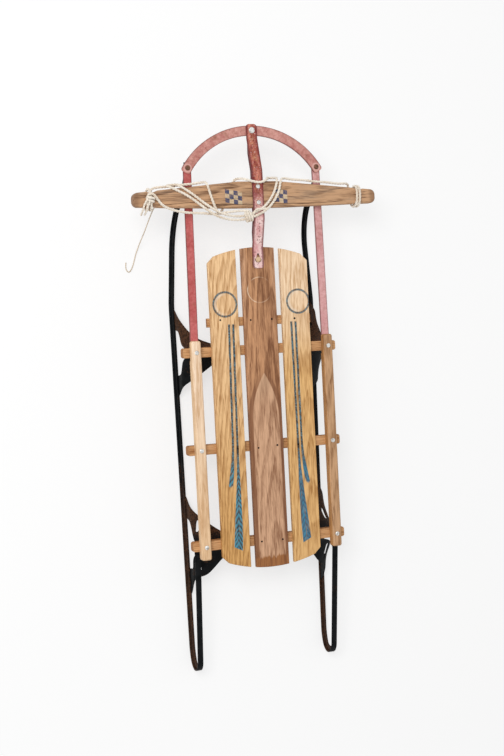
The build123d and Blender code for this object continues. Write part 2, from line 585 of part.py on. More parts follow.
for name, points, r in (("tow_rope", rope_points, ROPE_R), ("twine_tail", twine_points, TWINE_R)):
    radii = corner_radii(points)
    with BuildPart() as cord:
        with BuildLine() as cord_path:
            FilletPolyline(*points, radius=radii)
        with BuildSketch(Plane(cord_path.line @ 0, z_dir=cord_path.line % 0)):
            Circle(r)
        sweep(path=cord_path.line)
    length = cord_path.wires()[0].length
    print(name, "length", round(length, 1), "volume over section x length",
          round(cord.part.volume / (length * 3.14159 * r**2), 3), "radii", [round(v, 1) for v in radii])
    cord.part.label = name
    export_step(cord.part, f"parts/{name}.step")
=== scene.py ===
# %% [markdown]
# # A runner sled, dressed over its CAD frame
# The frame brings every board, bar and bolt at its true place and size, in metres. This lesson adds what a
# solid can't show: laid cotton rope, bent steel runners, nails, grain, paint and rust.

import math
from collections import namedtuple

import bmesh
import bpy
from mathutils import Matrix, Vector


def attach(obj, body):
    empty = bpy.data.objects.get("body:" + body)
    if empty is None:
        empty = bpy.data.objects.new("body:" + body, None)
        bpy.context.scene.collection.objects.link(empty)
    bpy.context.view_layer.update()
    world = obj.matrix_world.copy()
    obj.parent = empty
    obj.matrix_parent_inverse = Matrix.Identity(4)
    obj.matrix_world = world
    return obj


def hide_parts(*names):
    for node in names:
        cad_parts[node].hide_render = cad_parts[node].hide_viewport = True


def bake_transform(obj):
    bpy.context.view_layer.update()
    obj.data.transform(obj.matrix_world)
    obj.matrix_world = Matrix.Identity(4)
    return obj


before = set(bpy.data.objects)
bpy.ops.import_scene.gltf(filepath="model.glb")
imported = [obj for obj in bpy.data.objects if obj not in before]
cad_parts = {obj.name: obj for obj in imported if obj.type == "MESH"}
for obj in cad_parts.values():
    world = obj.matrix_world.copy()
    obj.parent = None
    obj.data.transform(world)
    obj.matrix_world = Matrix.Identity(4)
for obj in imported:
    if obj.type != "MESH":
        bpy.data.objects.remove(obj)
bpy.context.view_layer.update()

# %% [markdown]
# ## Camera
# The photograph looks almost straight down on the sled, from its left. The camera was fitted to bolts, board
# corners and runner ends, so its place and its three axes are written out: right, up and back are the columns
# of its matrix. The sensor is measured along the tall side, as the picture is upright.

# %% Camera
SENSOR, FOCAL_PIXELS, PICTURE_PIXELS = 36.0, 1300, 756


def placed(name, data):
    """A new object in the scene, from a mesh, a curve, a camera or a lamp."""
    made = bpy.data.objects.new(name, data)
    bpy.context.scene.collection.objects.link(made)
    return made


camera_data = bpy.data.cameras.new("camera")
camera_data.sensor_fit, camera_data.sensor_height = "VERTICAL", SENSOR
camera_data.lens = SENSOR * FOCAL_PIXELS / PICTURE_PIXELS
camera_data.clip_end = 20.0
camera = placed("camera", camera_data)
right = Vector((0.94174, -0.05082, 0.33247))
up = Vector((0.06177, 0.99784, -0.02244))
back = right.cross(up).normalized()
place = Vector((-0.98246, 0.16961, 2.84538))
camera.matrix_world = Matrix((right, back.cross(right), back)).transposed().to_4x4()
camera.matrix_world.translation = place
bpy.context.scene.camera = camera
print("camera height", round(place.z, 3), "lens", round(camera_data.lens, 2))

# %% [markdown]
# ## Tow rope: the line it follows
# Rope is soft, so its line has no straight runs and no sudden corners. The points below are the
# control points of one NURBS spline; Blender's own evaluation of that spline gives the smooth line that the
# strands then follow. Each point is x, y and z in millimetres, in the order in which the rope runs.

# %% Rope route
MM = 0.001
rope_route = [
    # out of the handle's underside, and two turns round the right neck
    (246.5, 439, 123.3), (246.5, 439, 111.3), (245, 469.5, 114.3), (243.5, 469.1, 150.8), (241.5, 423.6, 150.8),
    (240, 423.6, 116.8), (238, 469.6, 116.8), (236.5, 469.7, 150.8), (234.5, 423.3, 150.8), (233, 423.2, 116.8),
    # along the front face to the strands' top
    (229, 472, 118.3), (219, 475.9, 132.3), (196, 474.5, 137.3), (168, 478.6, 136.3), (140, 479.7, 138.3),
    (112, 483.8, 138.3), (86, 484.7, 140.3), (66, 488.1, 140.3), (53.5, 486.2, 150.8),
    # outer strand: over the bar, behind the handle, over it and round a bight at the front edge
    (49, 460, 148.9), (37, 438, 148.9), (18, 419, 152.3), (-3, 407.5, 152.8), (-26, 400, 151.3),
    (-50, 396.5, 149.3), (-78, 399.5, 152.3), (-101, 406.5, 154.8), (-120.5, 419.5, 154.3),
    (-141, 436.5, 150.3), (-164, 453.5, 148.9), (-186, 464, 149.3), (-204, 472.3, 150.8), (-206, 475.1, 139.3),
    (-200, 476.2, 133.3), (-189, 477.3, 133.3), (-183, 477.4, 139.3), (-182, 474.5, 150.8),
    # inner strand: back beside the outer one, to a bight at the front edge
    (-165, 464.5, 149.3), (-148, 453, 149.3), (-130, 438, 151.3), (-113, 425, 154.8), (-95, 414.5, 154.8),
    (-74, 407.5, 152.3), (-49, 404.5, 149.8), (-26, 407.5, 151.3), (-6, 415, 152.8), (13, 426, 152.3),
    (29, 443, 149.1), (40.5, 464, 148.9), (45.5, 487, 150.8), (46, 490, 135.3), (41.5, 490.5, 126.3),
    (31, 490.5, 126.3), (26.5, 490, 135.3), (23, 486, 151.8),
    # along the front edge over the bar, then once round the handle
    (6, 477.5, 152.8), (-16, 481, 152.8), (-33, 487, 150.8), (-40, 489.5, 132.3), (-46, 488.9, 117.3),
    (-60, 450, 116.3), (-78, 416.5, 117.3), (-90, 416.7, 135.3), (-99, 417.4, 149.8), (-107, 442, 148.5),
    (-113, 462, 148.5), (-119, 481.2, 150.3),
    # along the front face to the left neck, and two turns round it
    (-124, 482.2, 131.3), (-146, 479.2, 127.3), (-171, 477.9, 125.8), (-197, 474.5, 125.3),
    (-222, 473.6, 125.3), (-239, 470.6, 117.8), (-242, 423.6, 116.8), (-244, 423.5, 150.8),
    (-246, 468.9, 150.8), (-248, 468.7, 116.8), (-250, 423.4, 116.8), (-252.5, 423.3, 150.8),
    # over its own turns, then slack behind the handle and under both strands to the knot
    (-254, 449, 151.3), (-249.5, 458, 156.8), (-240, 455.5, 158.3), (-231, 443.5, 155.3), (-221, 432, 151.3),
    (-204, 424, 148.3), (-181, 418.3, 143.3), (-154, 415.5, 140.3), (-125, 414.2, 140.3), (-98, 411, 141.3),
    (-76, 415, 144.3), (-54, 416.5, 149.8), (-37, 417.5, 153.8), (-26, 415.5, 154.8),
]


def evaluated_mesh(piece):
    """A plain mesh of a piece, with its curve or its modifiers worked out."""
    return bpy.data.meshes.new_from_object(piece.evaluated_get(bpy.context.evaluated_depsgraph_get()))


def spline_points(route, resolution=12):
    """The points that Blender itself puts along the NURBS spline that a route in millimetres controls."""
    curve = bpy.data.curves.new("route", "CURVE")
    curve.dimensions = "3D"
    spline = curve.splines.new("NURBS")
    spline.points.add(len(route) - 1)
    for point, (x, y, z) in zip(spline.points, route):
        point.co = (x * MM, y * MM, z * MM, 1.0)
    spline.order_u = 3
    spline.use_endpoint_u = True
    spline.resolution_u = resolution
    carrier = placed("route", curve)
    line = evaluated_mesh(carrier)
    points = [v.co.copy() for v in line.vertices]
    bpy.data.objects.remove(carrier)
    bpy.data.meshes.remove(line)
    return points


def line_length(points):
    return sum((b - a).length for a, b in zip(points, points[1:]))


rope_line = spline_points(rope_route)
print("rope", round(line_length(rope_line), 3), "m in", len(rope_line), "points")

# %% [markdown]
# ## Tow rope: three strands laid together
# A plain round tube looks like wire. Laid rope is three strands twisted round each other, so a ring of its
# mesh is the outline of three touching circles, and each ring is turned a little further than the last. The
# rings keep their turn relative to the line by carrying one side vector along it.

# %% Laid cord
ROPE_R, CUT_END = 0.003, 0.55


def even_steps(points, step):
    """Points at equal distances along a line, with the line's own ends kept."""
    total = line_length(points)
    count = max(2, round(total / step))
    found, i, walked = [points[0].copy()], 0, 0.0
    for k in range(1, count):
        goal = total * k / count
        while walked + (points[i + 1] - points[i]).length < goal:
            walked += (points[i + 1] - points[i]).length
            i += 1
        part = (goal - walked) / (points[i + 1] - points[i]).length
        found.append(points[i].lerp(points[i + 1], part))
    return found + [points[-1].copy()]


def lobe_radius(angle, strands, radius):
    """Outline of a bundle of touching strands, seen from its middle."""
    share = math.pi / strands
    thin = radius * math.sin(share) / (1 + math.sin(share))
    off = radius - thin
    turn = (angle + share) % (2 * share) - share
    return off * math.cos(turn) + math.sqrt(max(thin**2 - (off * math.sin(turn)) ** 2, 0.0))


def new_object(name, vertices, faces, edges=()):
    mesh = bpy.data.meshes.new(name)
    mesh.from_pydata([tuple(v) for v in vertices], edges, faces)
    mesh.polygons.foreach_set("use_smooth", [True] * len(mesh.polygons))
    mesh.update()
    return placed(name, mesh)


def laid_cord(name, line, radius, strands=3, lay=7.0, around=8, step=0.0022):
    """A cord of twisted strands along a line; one full twist takes lay radii. Its UV map runs along and round."""
    points = even_steps(line, step)
    sides = strands * around
    side = Vector((0.31, 0.17, 0.93)).cross(points[1] - points[0]).normalized()
    vertices, lengths, walked = [], [], 0.0
    for i, here in enumerate(points):
        ahead = (points[min(i + 1, len(points) - 1)] - points[max(i - 1, 0)]).normalized()
        side = (side - ahead * side.dot(ahead)).normalized()
        over = ahead.cross(side)
        if i:
            walked += (here - points[i - 1]).length
        twist = 2 * math.pi * walked / (lay * radius)
        close = CUT_END if i in (0, len(points) - 1) else 1.0
        for k in range(sides):
            angle = 2 * math.pi * k / sides
            r = close * lobe_radius(angle, strands, radius)
            vertices.append(here + r * (side * math.cos(angle + twist) + over * math.sin(angle + twist)))
        lengths.append(walked)
    faces = []
    for i in range(len(points) - 1):
        for k in range(sides):
            a, b = i * sides + k, i * sides + (k + 1) % sides
            faces.append((a, b, b + sides, a + sides))
    last = (len(points) - 1) * sides
    faces.append(tuple(reversed(range(sides))))
    faces.append(tuple(range(last, last + sides)))
    piece = new_object(name, vertices, faces)
    uv = piece.data.uv_layers.new(name="lay")
    for polygon in piece.data.polygons:
        ks = [v % sides for v in polygon.vertices]
        wrap = max(ks) - min(ks) > sides // 2 and len(ks) == 4
        for loop, vertex in zip(polygon.loop_indices, polygon.vertices):
            k = vertex % sides
            round_part = (k + sides if wrap and k == 0 else k) / sides
            uv.data[loop].uv = (lengths[vertex // sides], round_part)
    return piece


tow_rope = laid_cord("tow_rope_laid", rope_line, ROPE_R)
print("rope triangles", 2 * len(tow_rope.data.polygons))

# %% [markdown]
# ## Knots and tails of the rope
# The big knot lies where both strands pass the bar: a few turns round the bundle, drawn as another short
# rope, and a free tail. At the left neck a smaller knot has two cut tails that hang over the rear edge.

# %% Knots
def turns(centre, along, half, low, count, start, spread, per_turn=10):
    """A route of turns round a bundle: half is its reach across, low its reach up and down."""
    along = Vector(along).normalized()
    across = Vector((0, 0, 1)).cross(along).normalized()
    route = []
    for k in range(round(count * per_turn) + 1):
        angle = start + 2 * math.pi * k / per_turn
        shift = spread * (k / (count * per_turn) - 0.5)
        spot = Vector(centre) + along * shift + across * (half * math.cos(angle))
        route.append(tuple(spot + Vector((0, 0, low * math.sin(angle)))))
    return route


big_knot = turns((-27, 404.5, 151.3), (1, 0.22, 0), half=11.0, low=7.4, count=2.6, start=0.4, spread=15.0)
big_knot += [(-12, 418, 157), (-2, 420, 154.5), (9, 419.5, 153.2), (19, 421, 151.5)]
small_knot = turns((-246.5, 446, 152.4), (0.35, 1, 0), half=8.5, low=6.2, count=1.7, start=0.9, spread=11.0)
long_tail = [(-252, 446, 157), (-258, 441, 157.5), (-262, 431, 154), (-264, 421, 148), (-264.5, 415.5, 138),
             (-263, 413.5, 128)]
short_tail = [(-249, 441, 157.5), (-252, 433, 156), (-255, 425, 152.5), (-257, 417, 145), (-257.5, 413, 136)]
knot_pieces = [laid_cord(name, spline_points(route), ROPE_R * share) for name, route, share in (
    ("knot_at_bar", big_knot, 1.0), ("knot_at_neck", small_knot, 1.0),
    ("tail_long", long_tail, 0.8), ("tail_short", short_tail, 0.8))]
print("knot pieces", [p.name for p in knot_pieces])

# %% [markdown]
# ## Twine
# A thin two-ply twine hangs from under the handle's left end and lies on the floor in a small hook. It is
# the same kind of cord, with two strands and a tighter lay.

# %% Twine
TWINE_R = 0.0015
twine_route = [
    (-229, 431.5, 123.3), (-229, 431.5, 113.3), (-231, 420, 94), (-234, 401, 70), (-236, 385, 49),
    (-239, 369, 27), (-242, 354, 9.5), (-247, 338, 2.4), (-252, 320, 1.8), (-257.5, 305.5, 1.8),
    (-264, 297.5, 1.8), (-270, 302, 1.8), (-271.5, 311, 1.8), (-270, 321, 1.8),
]
twine_line = spline_points(twine_route)
twine = laid_cord("twine_laid", twine_line, TWINE_R, strands=2, lay=6.0, step=0.0012)

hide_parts("tow_rope")
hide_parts("twine_tail")
for piece, slot in [(tow_rope, "cotton"), (twine, "jute")] + [(p, "cotton") for p in knot_pieces]:
    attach(piece, "steering")
line_length(rope_line)
line_length(twine_line)
print("twine", round(line_length(twine_line), 3), "m")

# %% [markdown]
# ## Geometry Nodes from a script
# Some pieces follow a rule: a steel bar is one outline carried along a line, and nails are one head set on many
# points. Geometry Nodes keeps such a rule as a tree with named inputs. The helpers below start a tree, add a
# node with its settings and inputs in one call, and run a tree on a piece. The result is read from the
# evaluated object as a plain mesh, and the modifier is taken away again. The finishes add their nodes by the
# same call.

# %% Geometry Nodes helper
def new_tree(name, sizes):
    """A tree that takes geometry, named lengths and a material, and hands back geometry."""
    tree = bpy.data.node_groups.new(name, "GeometryNodeTree")
    tree.interface.new_socket("Geometry", in_out="INPUT", socket_type="NodeSocketGeometry")
    for size in sizes:
        tree.interface.new_socket(size, in_out="INPUT", socket_type="NodeSocketFloat")
    tree.interface.new_socket("Material", in_out="INPUT", socket_type="NodeSocketMaterial")
    tree.interface.new_socket("Geometry", in_out="OUTPUT", socket_type="NodeSocketGeometry")
    return tree, tree.nodes.new("NodeGroupInput").outputs, tree.nodes.new("NodeGroupOutput").inputs


def add(tree, kind, settings=None, inputs=None, out=0):
    """Add a node and return one of its outputs; an input is a plain value or another node's output."""
    made = tree.nodes.new(kind)
    for key, value in (settings or {}).items():
        setattr(made, key, value)
    for key, value in (inputs or {}).items():
        if isinstance(value, bpy.types.NodeSocket):
            tree.links.new(value, made.inputs[key])
        else:
            made.inputs[key].default_value = value
    return made.outputs[out] if len(made.outputs) else None


def close_tree(tree, geometry, inlet, outlet):
    """Every tree ends the same way: real geometry, with its material set."""
    real = add(tree, "GeometryNodeRealizeInstances", None, {"Geometry": geometry})
    dressed = add(tree, "GeometryNodeSetMaterial", None, {"Geometry": real, "Material": inlet["Material"]})
    tree.links.new(dressed, outlet["Geometry"])


def run_tree(piece, tree, values):
    """Run a tree on a piece and keep the result as the piece's own mesh."""
    modifier = piece.modifiers.new(tree.name, "NODES")
    modifier.node_group = tree
    for socket in tree.interface.items_tree:
        if socket.in_out == "INPUT" and socket.name in values:
            modifier[socket.identifier] = values[socket.name]
    made = evaluated_mesh(piece)
    piece.modifiers.remove(modifier)
    piece.data = made
    return piece


print("tree helpers ready")

# %% [markdown]
# ## Runners: the line of the bent bar
# Each runner is one long bar of spring steel, bent up to the bumper in front and folded back in a hairpin
# behind. From the side it is straight runs and arcs, so its line is worked out from the radii of its bends
# rather than drawn by hand. From above it is widest at the front knee and runs in to the bumper's corner.

# %% Runner line
CORNER_X, CORNER_Y, KNEE_X, REAR_X = 0.151, 0.515, 0.170, 0.1655
BEND_Y, BENCH_FRONT_Y, BENCH_REAR_Y = 0.220, 0.112, -0.316
TOE_FRONT = math.atan((KNEE_X - CORNER_X) / (CORNER_Y - BEND_Y))
TOE_REAR = math.atan((REAR_X - KNEE_X) / (BEND_Y - BENCH_REAR_Y))
RISE, TAIL_SWING = math.radians(53.57), math.radians(22)
SWEEP_R, NOSE_R, EYE_LOW, EYE_BACK, EYE_FRONT = 0.140, 0.030, 0.110, 0.010, 0.013
TAIL_SWEEP_R, TAIL_R, TAIL_BEND_R, TAIL_END_Y = 0.100, 0.029, 0.060, -0.610
LUG_TOP, LEDGE_Y, LUG_LONG = 0.092, -0.351, 0.0237


def runner_x(y):
    """Distance of the runner from the sled's middle, by y."""
    if y > BEND_Y:
        return CORNER_X + (CORNER_Y - y) * math.tan(TOE_FRONT)
    return KNEE_X + (BEND_Y - y) * math.tan(TOE_REAR)


def runner_line():
    """Points of the sole's underside from the eye to the lug, and the first and last point that has a web."""
    nose = CORNER_Y - EYE_BACK
    bends = SWEEP_R + NOSE_R
    slope = (EYE_LOW - bends * (1 - math.cos(RISE))) / math.sin(RISE)
    touch = nose - bends * math.sin(RISE) - slope * math.cos(RISE)
    rest = TAIL_SWEEP_R - TAIL_R
    tail = TAIL_END_Y + TAIL_R + rest * math.sin(TAIL_SWING)
    curl = (tail - rest * math.sin(TAIL_SWING), TAIL_SWEEP_R - rest * math.cos(TAIL_SWING))
    crest = (LEDGE_Y, LUG_TOP - TAIL_BEND_R)
    reach = math.hypot(crest[0] - curl[0], crest[1] - curl[1])
    climb = math.atan2(crest[1] - curl[1], crest[0] - curl[0]) + math.asin((TAIL_BEND_R - TAIL_R) / reach)
    half_turn = math.pi / 2
    line = [(CORNER_Y + EYE_FRONT, EYE_LOW)]

    def arc(centre, radius, start, stop, steps):
        for k in range(steps + 1):
            a = start + (stop - start) * k / steps
            line.append((centre[0] + radius * math.cos(a), centre[1] + radius * math.sin(a)))

    arc((nose, EYE_LOW - NOSE_R), NOSE_R, half_turn, half_turn + RISE, 14)
    web_from = len(line) - 1
    top, low = line[-1], (touch + SWEEP_R * math.sin(RISE), SWEEP_R * (1 - math.cos(RISE)))
    line.extend((top[0] + (low[0] - top[0]) * k / 8, top[1] + (low[1] - top[1]) * k / 8) for k in range(1, 8))
    arc((touch, SWEEP_R), SWEEP_R, RISE - half_turn, -half_turn, 28)
    line.extend((touch + (tail - touch) * k / 70, 0.0) for k in range(1, 70))
    arc((tail, TAIL_SWEEP_R), TAIL_SWEEP_R, -half_turn, -half_turn - TAIL_SWING, 12)
    arc(curl, TAIL_R, -half_turn - TAIL_SWING - 0.05, climb - 3 * half_turn, 28)
    web_to = len(line) - 1
    arc(crest, TAIL_BEND_R, half_turn + climb, half_turn, 8)
    line.append((LEDGE_Y + LUG_LONG, LUG_TOP))
    return [Vector((runner_x(y), y, z)) for y, z in line], web_from, web_to


runner_path, web_from, web_to = runner_line()
print("runner path", len(runner_path), "points, web from", web_from, "to", web_to)

# %% [markdown]
# ## Runners: a T bar swept along that line
# In section the bar is a T lying on its head: a flat sole with a web standing on it, both with eased edges. The
# tree carries one rounded rectangle along the whole line for the sole, and a second one along the points that
# are marked as having a web; the flattened ends at the eye and at the rear bench have none. The mark is a share
# of the full height, so the web runs out into the sole instead of ending in a step. On the sled the front of each
# runner bends with its steel rail when it is steered; here it is built unbent, and its straight part has many
# rings.

# %% T bar tree
WEB_LEAST, WEB_FADE = 0.2, 0.032


def t_bar_tree():
    sizes = ("Sole Width", "Sole Thickness", "Web Width", "Web Height", "Edge Round")
    tree, inlet, outlet = new_tree("t_bar", sizes)

    def maths(operation, first, second):
        return add(tree, "ShaderNodeMath", {"operation": operation}, {0: first, 1: second})

    def swept(path, wide, tall, lift, share=1.0):
        outline = add(tree, "GeometryNodeCurvePrimitiveQuadrilateral", None, {"Width": wide, "Height": tall})
        eased = add(tree, "GeometryNodeFilletCurve", {"mode": "POLY"},
                    {"Curve": outline, "Count": 2, "Radius": inlet["Edge Round"]})
        offset = add(tree, "ShaderNodeCombineXYZ", None, {"Y": lift})
        moved = add(tree, "GeometryNodeTransform", None, {"Geometry": eased, "Translation": offset})
        line = add(tree, "GeometryNodeMeshToCurve", None, {"Mesh": path})
        return add(tree, "GeometryNodeCurveToMesh", None,
                   {"Curve": line, "Profile Curve": moved, "Scale": share, "Fill Caps": True})

    thick, tall = inlet["Sole Thickness"], inlet["Web Height"]
    sole = swept(inlet["Geometry"], inlet["Sole Width"], thick, maths("MULTIPLY", thick, -0.5))
    share = add(tree, "GeometryNodeInputNamedAttribute", {"data_type": "FLOAT"}, {"Name": "web"})
    webbed = add(tree, "GeometryNodeSeparateGeometry", {"domain": "POINT"},
                 {"Geometry": inlet["Geometry"], "Selection": share})
    sunk = maths("ADD", maths("MULTIPLY", thick, -0.9), maths("MULTIPLY", tall, -0.5))
    web = swept(webbed, inlet["Web Width"], tall, sunk, share)
    joined = tree.nodes.new("GeometryNodeJoinGeometry")
    for part in (sole, web):
        tree.links.new(part, joined.inputs[0])
    soft = add(tree, "GeometryNodeSetShadeSmooth", None, {"Geometry": joined.outputs[0]})
    close_tree(tree, soft, inlet, outlet)
    return tree


def web_share(i):
    """Share of the web's full height at a point of the path: 0 outside the web, rising from each of its ends."""
    if not web_from <= i <= web_to:
        return 0.0
    steps = [(b - a).length for a, b in zip(runner_path, runner_path[1:])]
    nearest = min(sum(steps[web_from:i]), sum(steps[i:web_to]))
    return min(1.0, WEB_LEAST + (1 - WEB_LEAST) * nearest / WEB_FADE)


def build_runner(name, side, tree):
    """One runner; side is 1 for the right and -1 for the left, which is the same path mirrored."""
    points = [(side * p.x, p.y, p.z) for p in runner_path]
    piece = new_object(name, points, [], [(i, i + 1) for i in range(len(points) - 1)])
    web = piece.data.attributes.new("web", "FLOAT", "POINT")
    web.data.foreach_set("value", [web_share(i) for i in range(len(points))])
    run_tree(piece, tree, {"Sole Width": 0.013, "Sole Thickness": 0.003, "Web Width": 0.004, "Web Height": 0.0113,
                           "Edge Round": 0.0006, "Material": bpy.data.materials["runner_enamel"]})
    piece.data.set_sharp_from_angle(angle=math.radians(40))
    return piece


bpy.data.materials.new("runner_enamel")
t_bar, runners = t_bar_tree(), {}
for name, side, rail in (("runner_left", -1, "left_rail"), ("runner_right", 1, "right_rail")):
    runner = build_runner(name + "_bent", side, t_bar)
    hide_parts(name)
    side * runner_x(0.225)
    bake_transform(runner)
    runners[name] = runner

# %% [markdown]
# ## Knees: a pressed sheet that twists
# A knee is one strip of sheet steel: a flat plate under the bench and two arms that turn through a quarter as
# they go down, so that each foot lies flat along its runner. The press gives a smooth twist, which the CAD
# follows with a few sections. Here the same sections are joined by a curve through all of them, so the sheet
# bends evenly; Solidify gives it its thickness, a Boolean cuts the slots of the rear pair and Bevel eases the
# edges. The left knees are the right ones mirrored.

# %% Knees
SHEET, FOOT_LOW, ARM_TALL = 0.002, 0.0033, 0.0897
KNEE_INNER, KNEE_OUTER, REAR_ARM_OUTER = 0.078, 0.1705, 0.1445
FRONT_FOOT, REAR_FOOT, REAR_FOOT_BACK = (0.054, 0.104), (0.054, 0.108), (0.066, 0.128)
# how much further each arm's inner edge reaches from the bench, at three heights, as the press spread it
FRONT_AHEAD, FRONT_BEHIND = (0.0, 0.0, 0.0), (0.003, 0.020, 0.013)
REAR_AHEAD, REAR_BEHIND = (0.003, 0.013, 0.008), (0.0, 0.028, 0.018)
ACROSS, SLOT_SIDES = 10, 24
LUG_WIDE, LUG_DEEP, LUG_X, LUG_Y = 0.016, 0.026, runner_x(-0.339) - 0.0005, -0.338


def arm_edges(at, way, foot, outer, spread):
    """Outer and inner edge of an arm at six heights; way is 1 for the arm that goes forward."""
    near, far = foot
    middle, wide = (KNEE_INNER + outer) / 2, outer - KNEE_INNER
    foot_x = runner_x(at + way * (near + far) / 2) - 0.0031
    sections = [  # share of the height, x, distance from the bench, length, turn in degrees, spread
        (0.0, foot_x, (near + far) / 2, far - near, 90, 0.0),
        (0.165, foot_x, (near + far) / 2 - 0.007, far - near - 0.008, 90, 0.0),
        (0.43, foot_x - 0.001, near + 0.005, 0.027, 80, spread[0]),
        (0.655, foot_x - 0.012, 0.54 * near, 0.03375, 26, spread[1]),
        (0.855, middle + 0.014, 0.29 * near, wide - 0.030, 5, spread[2]),
        (1.0, middle, 0.009, wide - 0.002, 0, 0.0),
    ]
    edges = []
    for share, x, off, length, turn, further in sections:
        spot = Vector((x, at + way * off, FOOT_LOW + share * ARM_TALL))
        angle = -way * math.radians(turn) + (TOE_REAR if turn == 90 else 0.0)
        reach = Vector((math.cos(angle), math.sin(angle), 0.0)) * (length / 2)
        edges.append((spot + reach, spot - reach + Vector((0.0, way * further, 0.0))))
    return edges


def through(points, steps=7):
    """A smooth line through all the points (Catmull-Rom), with even steps between each two."""
    ends = [2 * points[0] - points[1], *points, 2 * points[-1] - points[-2]]
    line = []
    for a, b, c, d in zip(ends, ends[1:], ends[2:], ends[3:]):
        for t in [k / steps for k in range(steps)]:
            line.append(0.5 * (2 * b + (c - a) * t + (2 * a - 5 * b + 4 * c - d) * t**2
                               + (3 * b - a - 3 * c + d) * t**3))
    return line + [points[-1].copy()]


def knee_sheet(name, at, ahead, behind):
    """The bare sheet: up the rear arm, over the plate, down the front arm."""
    rows = []
    for way, (foot, outer, spread) in ((-1, behind), (1, ahead)):
        near, far = zip(*arm_edges(at, way, foot, outer, spread))
        arm = list(zip(through(near), through(far)))
        rows += arm if way < 0 else arm[::-1]
        if way < 0 and outer < KNEE_OUTER:
            corners = [Vector((x, at - 0.0085, arm[-1][1].z)) for x in (KNEE_OUTER - 0.001, KNEE_INNER + 0.001)]
            rows.append(tuple(corners))
    vertices = [near.lerp(far, k / ACROSS) for near, far in rows for k in range(ACROSS + 1)]
    ring = ACROSS + 1
    faces = [(r * ring + k, r * ring + k + 1, (r + 1) * ring + k + 1, (r + 1) * ring + k)
             for r in range(len(rows) - 1) for k in range(ACROSS)]
    return new_object(name, vertices, faces)


def slot_cutter(at):
    """A long rounded bar that lies along y and cuts one slot through both arms of a rear knee."""
    half, radius, lean = 0.0036, 0.0034, math.radians(60)
    middle = Vector((runner_x(at) - 0.012, at, FOOT_LOW + 0.64 * ARM_TALL))
    ring = []
    for k in range(SLOT_SIDES):
        a = 2 * math.pi * (k + 0.5) / SLOT_SIDES
        u, v = radius * math.cos(a) + math.copysign(half, math.cos(a)), radius * math.sin(a)
        ring.append(Vector((u * math.cos(lean) - v * math.sin(lean), 0.0, u * math.sin(lean) + v * math.cos(lean))))
    vertices = [middle + p + Vector((0, end, 0)) for end in (-0.08, 0.08) for p in ring]
    faces = [(k, after, SLOT_SIDES + after, SLOT_SIDES + k)
             for k, after in ((k, (k + 1) % SLOT_SIDES) for k in range(SLOT_SIDES))]
    faces += [tuple(reversed(range(SLOT_SIDES))), tuple(range(SLOT_SIDES, 2 * SLOT_SIDES))]
    cutter = new_object("slot_cutter", vertices, faces)
    tidy_normals(cutter.data)
    return cutter


def tidy_normals(mesh, mirror=False):
    work = bmesh.new()
    work.from_mesh(mesh)
    if mirror:
        for vertex in work.verts:
            vertex.co.x = -vertex.co.x
    bmesh.ops.recalc_face_normals(work, faces=work.faces)
    work.to_mesh(mesh)
    work.free()


def press_knee(sheet, at, slotted):
    """Thickness, slot and eased edges, as a plain mesh."""
    thick = sheet.modifiers.new("thickness", "SOLIDIFY")
    thick.thickness, thick.offset, thick.use_even_offset = SHEET, 0.0, True
    cutter = slot_cutter(at) if slotted else None
    if cutter:
        slot = sheet.modifiers.new("slot", "BOOLEAN")
        slot.object, slot.operation, slot.solver = cutter, "DIFFERENCE", "EXACT"
    ease = sheet.modifiers.new("ease", "BEVEL")
    ease.width, ease.segments, ease.angle_limit = 0.0004, 2, math.radians(50)
    mesh = evaluated_mesh(sheet)
    bpy.data.objects.remove(sheet)
    if cutter:
        bpy.data.objects.remove(cutter)
    return mesh


def add_lug(mesh):
    """The rivet lug that reaches back from a rear knee's plate over the end of the runner."""
    work = bmesh.new()
    work.from_mesh(mesh)
    for vertex in bmesh.ops.create_cube(work, size=1.0)["verts"]:
        x, y, z = vertex.co
        vertex.co = (LUG_X + LUG_WIDE * x, LUG_Y + LUG_DEEP * y, LUG_TOP + SHEET / 2 + SHEET * z)
    work.to_mesh(mesh)
    work.free()


knees = {}
for place_name, at, ahead, behind in (
    ("front", BENCH_FRONT_Y, (FRONT_FOOT, KNEE_OUTER, FRONT_AHEAD), (FRONT_FOOT, KNEE_OUTER, FRONT_BEHIND)),
    ("rear", BENCH_REAR_Y, (REAR_FOOT, KNEE_OUTER, REAR_AHEAD), (REAR_FOOT_BACK, REAR_ARM_OUTER, REAR_BEHIND)),
):
    sheet = knee_sheet("knee_sheet", at, ahead, behind)
    pressed = press_knee(sheet, at, place_name == "rear")
    if place_name == "rear":
        add_lug(pressed)
    for side_name in ("right", "left"):
        node = f"knee_{place_name}_{side_name}"
        mesh = pressed.copy()
        tidy_normals(mesh, mirror=side_name == "left")
        mesh.polygons.foreach_set("use_smooth", [True] * len(mesh.polygons))
        mesh.set_sharp_from_angle(angle=math.radians(35))
        knee = placed(node + "_pressed", mesh)
        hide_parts(node)
        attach(knee, "base")
        knees[node] = knee
    triangles = sum(len(p.vertices) - 2 for p in mesh.polygons)
    print(node, "triangles", triangles, [round(d, 3) for d in knee.dimensions])

# %% [markdown]
# ## Nails
# The boards are nailed to the bars below them, and the heads show as small dark dots on the deck. One low dome
# is set on every nail's place; a seeded random size keeps the heads from looking stamped.

# %% Nails
DECK_TOP = 0.123
nail_rows = [(-0.0948, 0.181), (0.0803, 0.177)]
nail_rows += [(x, y) for y in (0.178, -0.317) for x in (-0.024, 0.026)]
nail_rows += [(-0.070, -0.1046), (-0.0207, -0.1074), (0.024, -0.1043), (0.0745, -0.1065)]


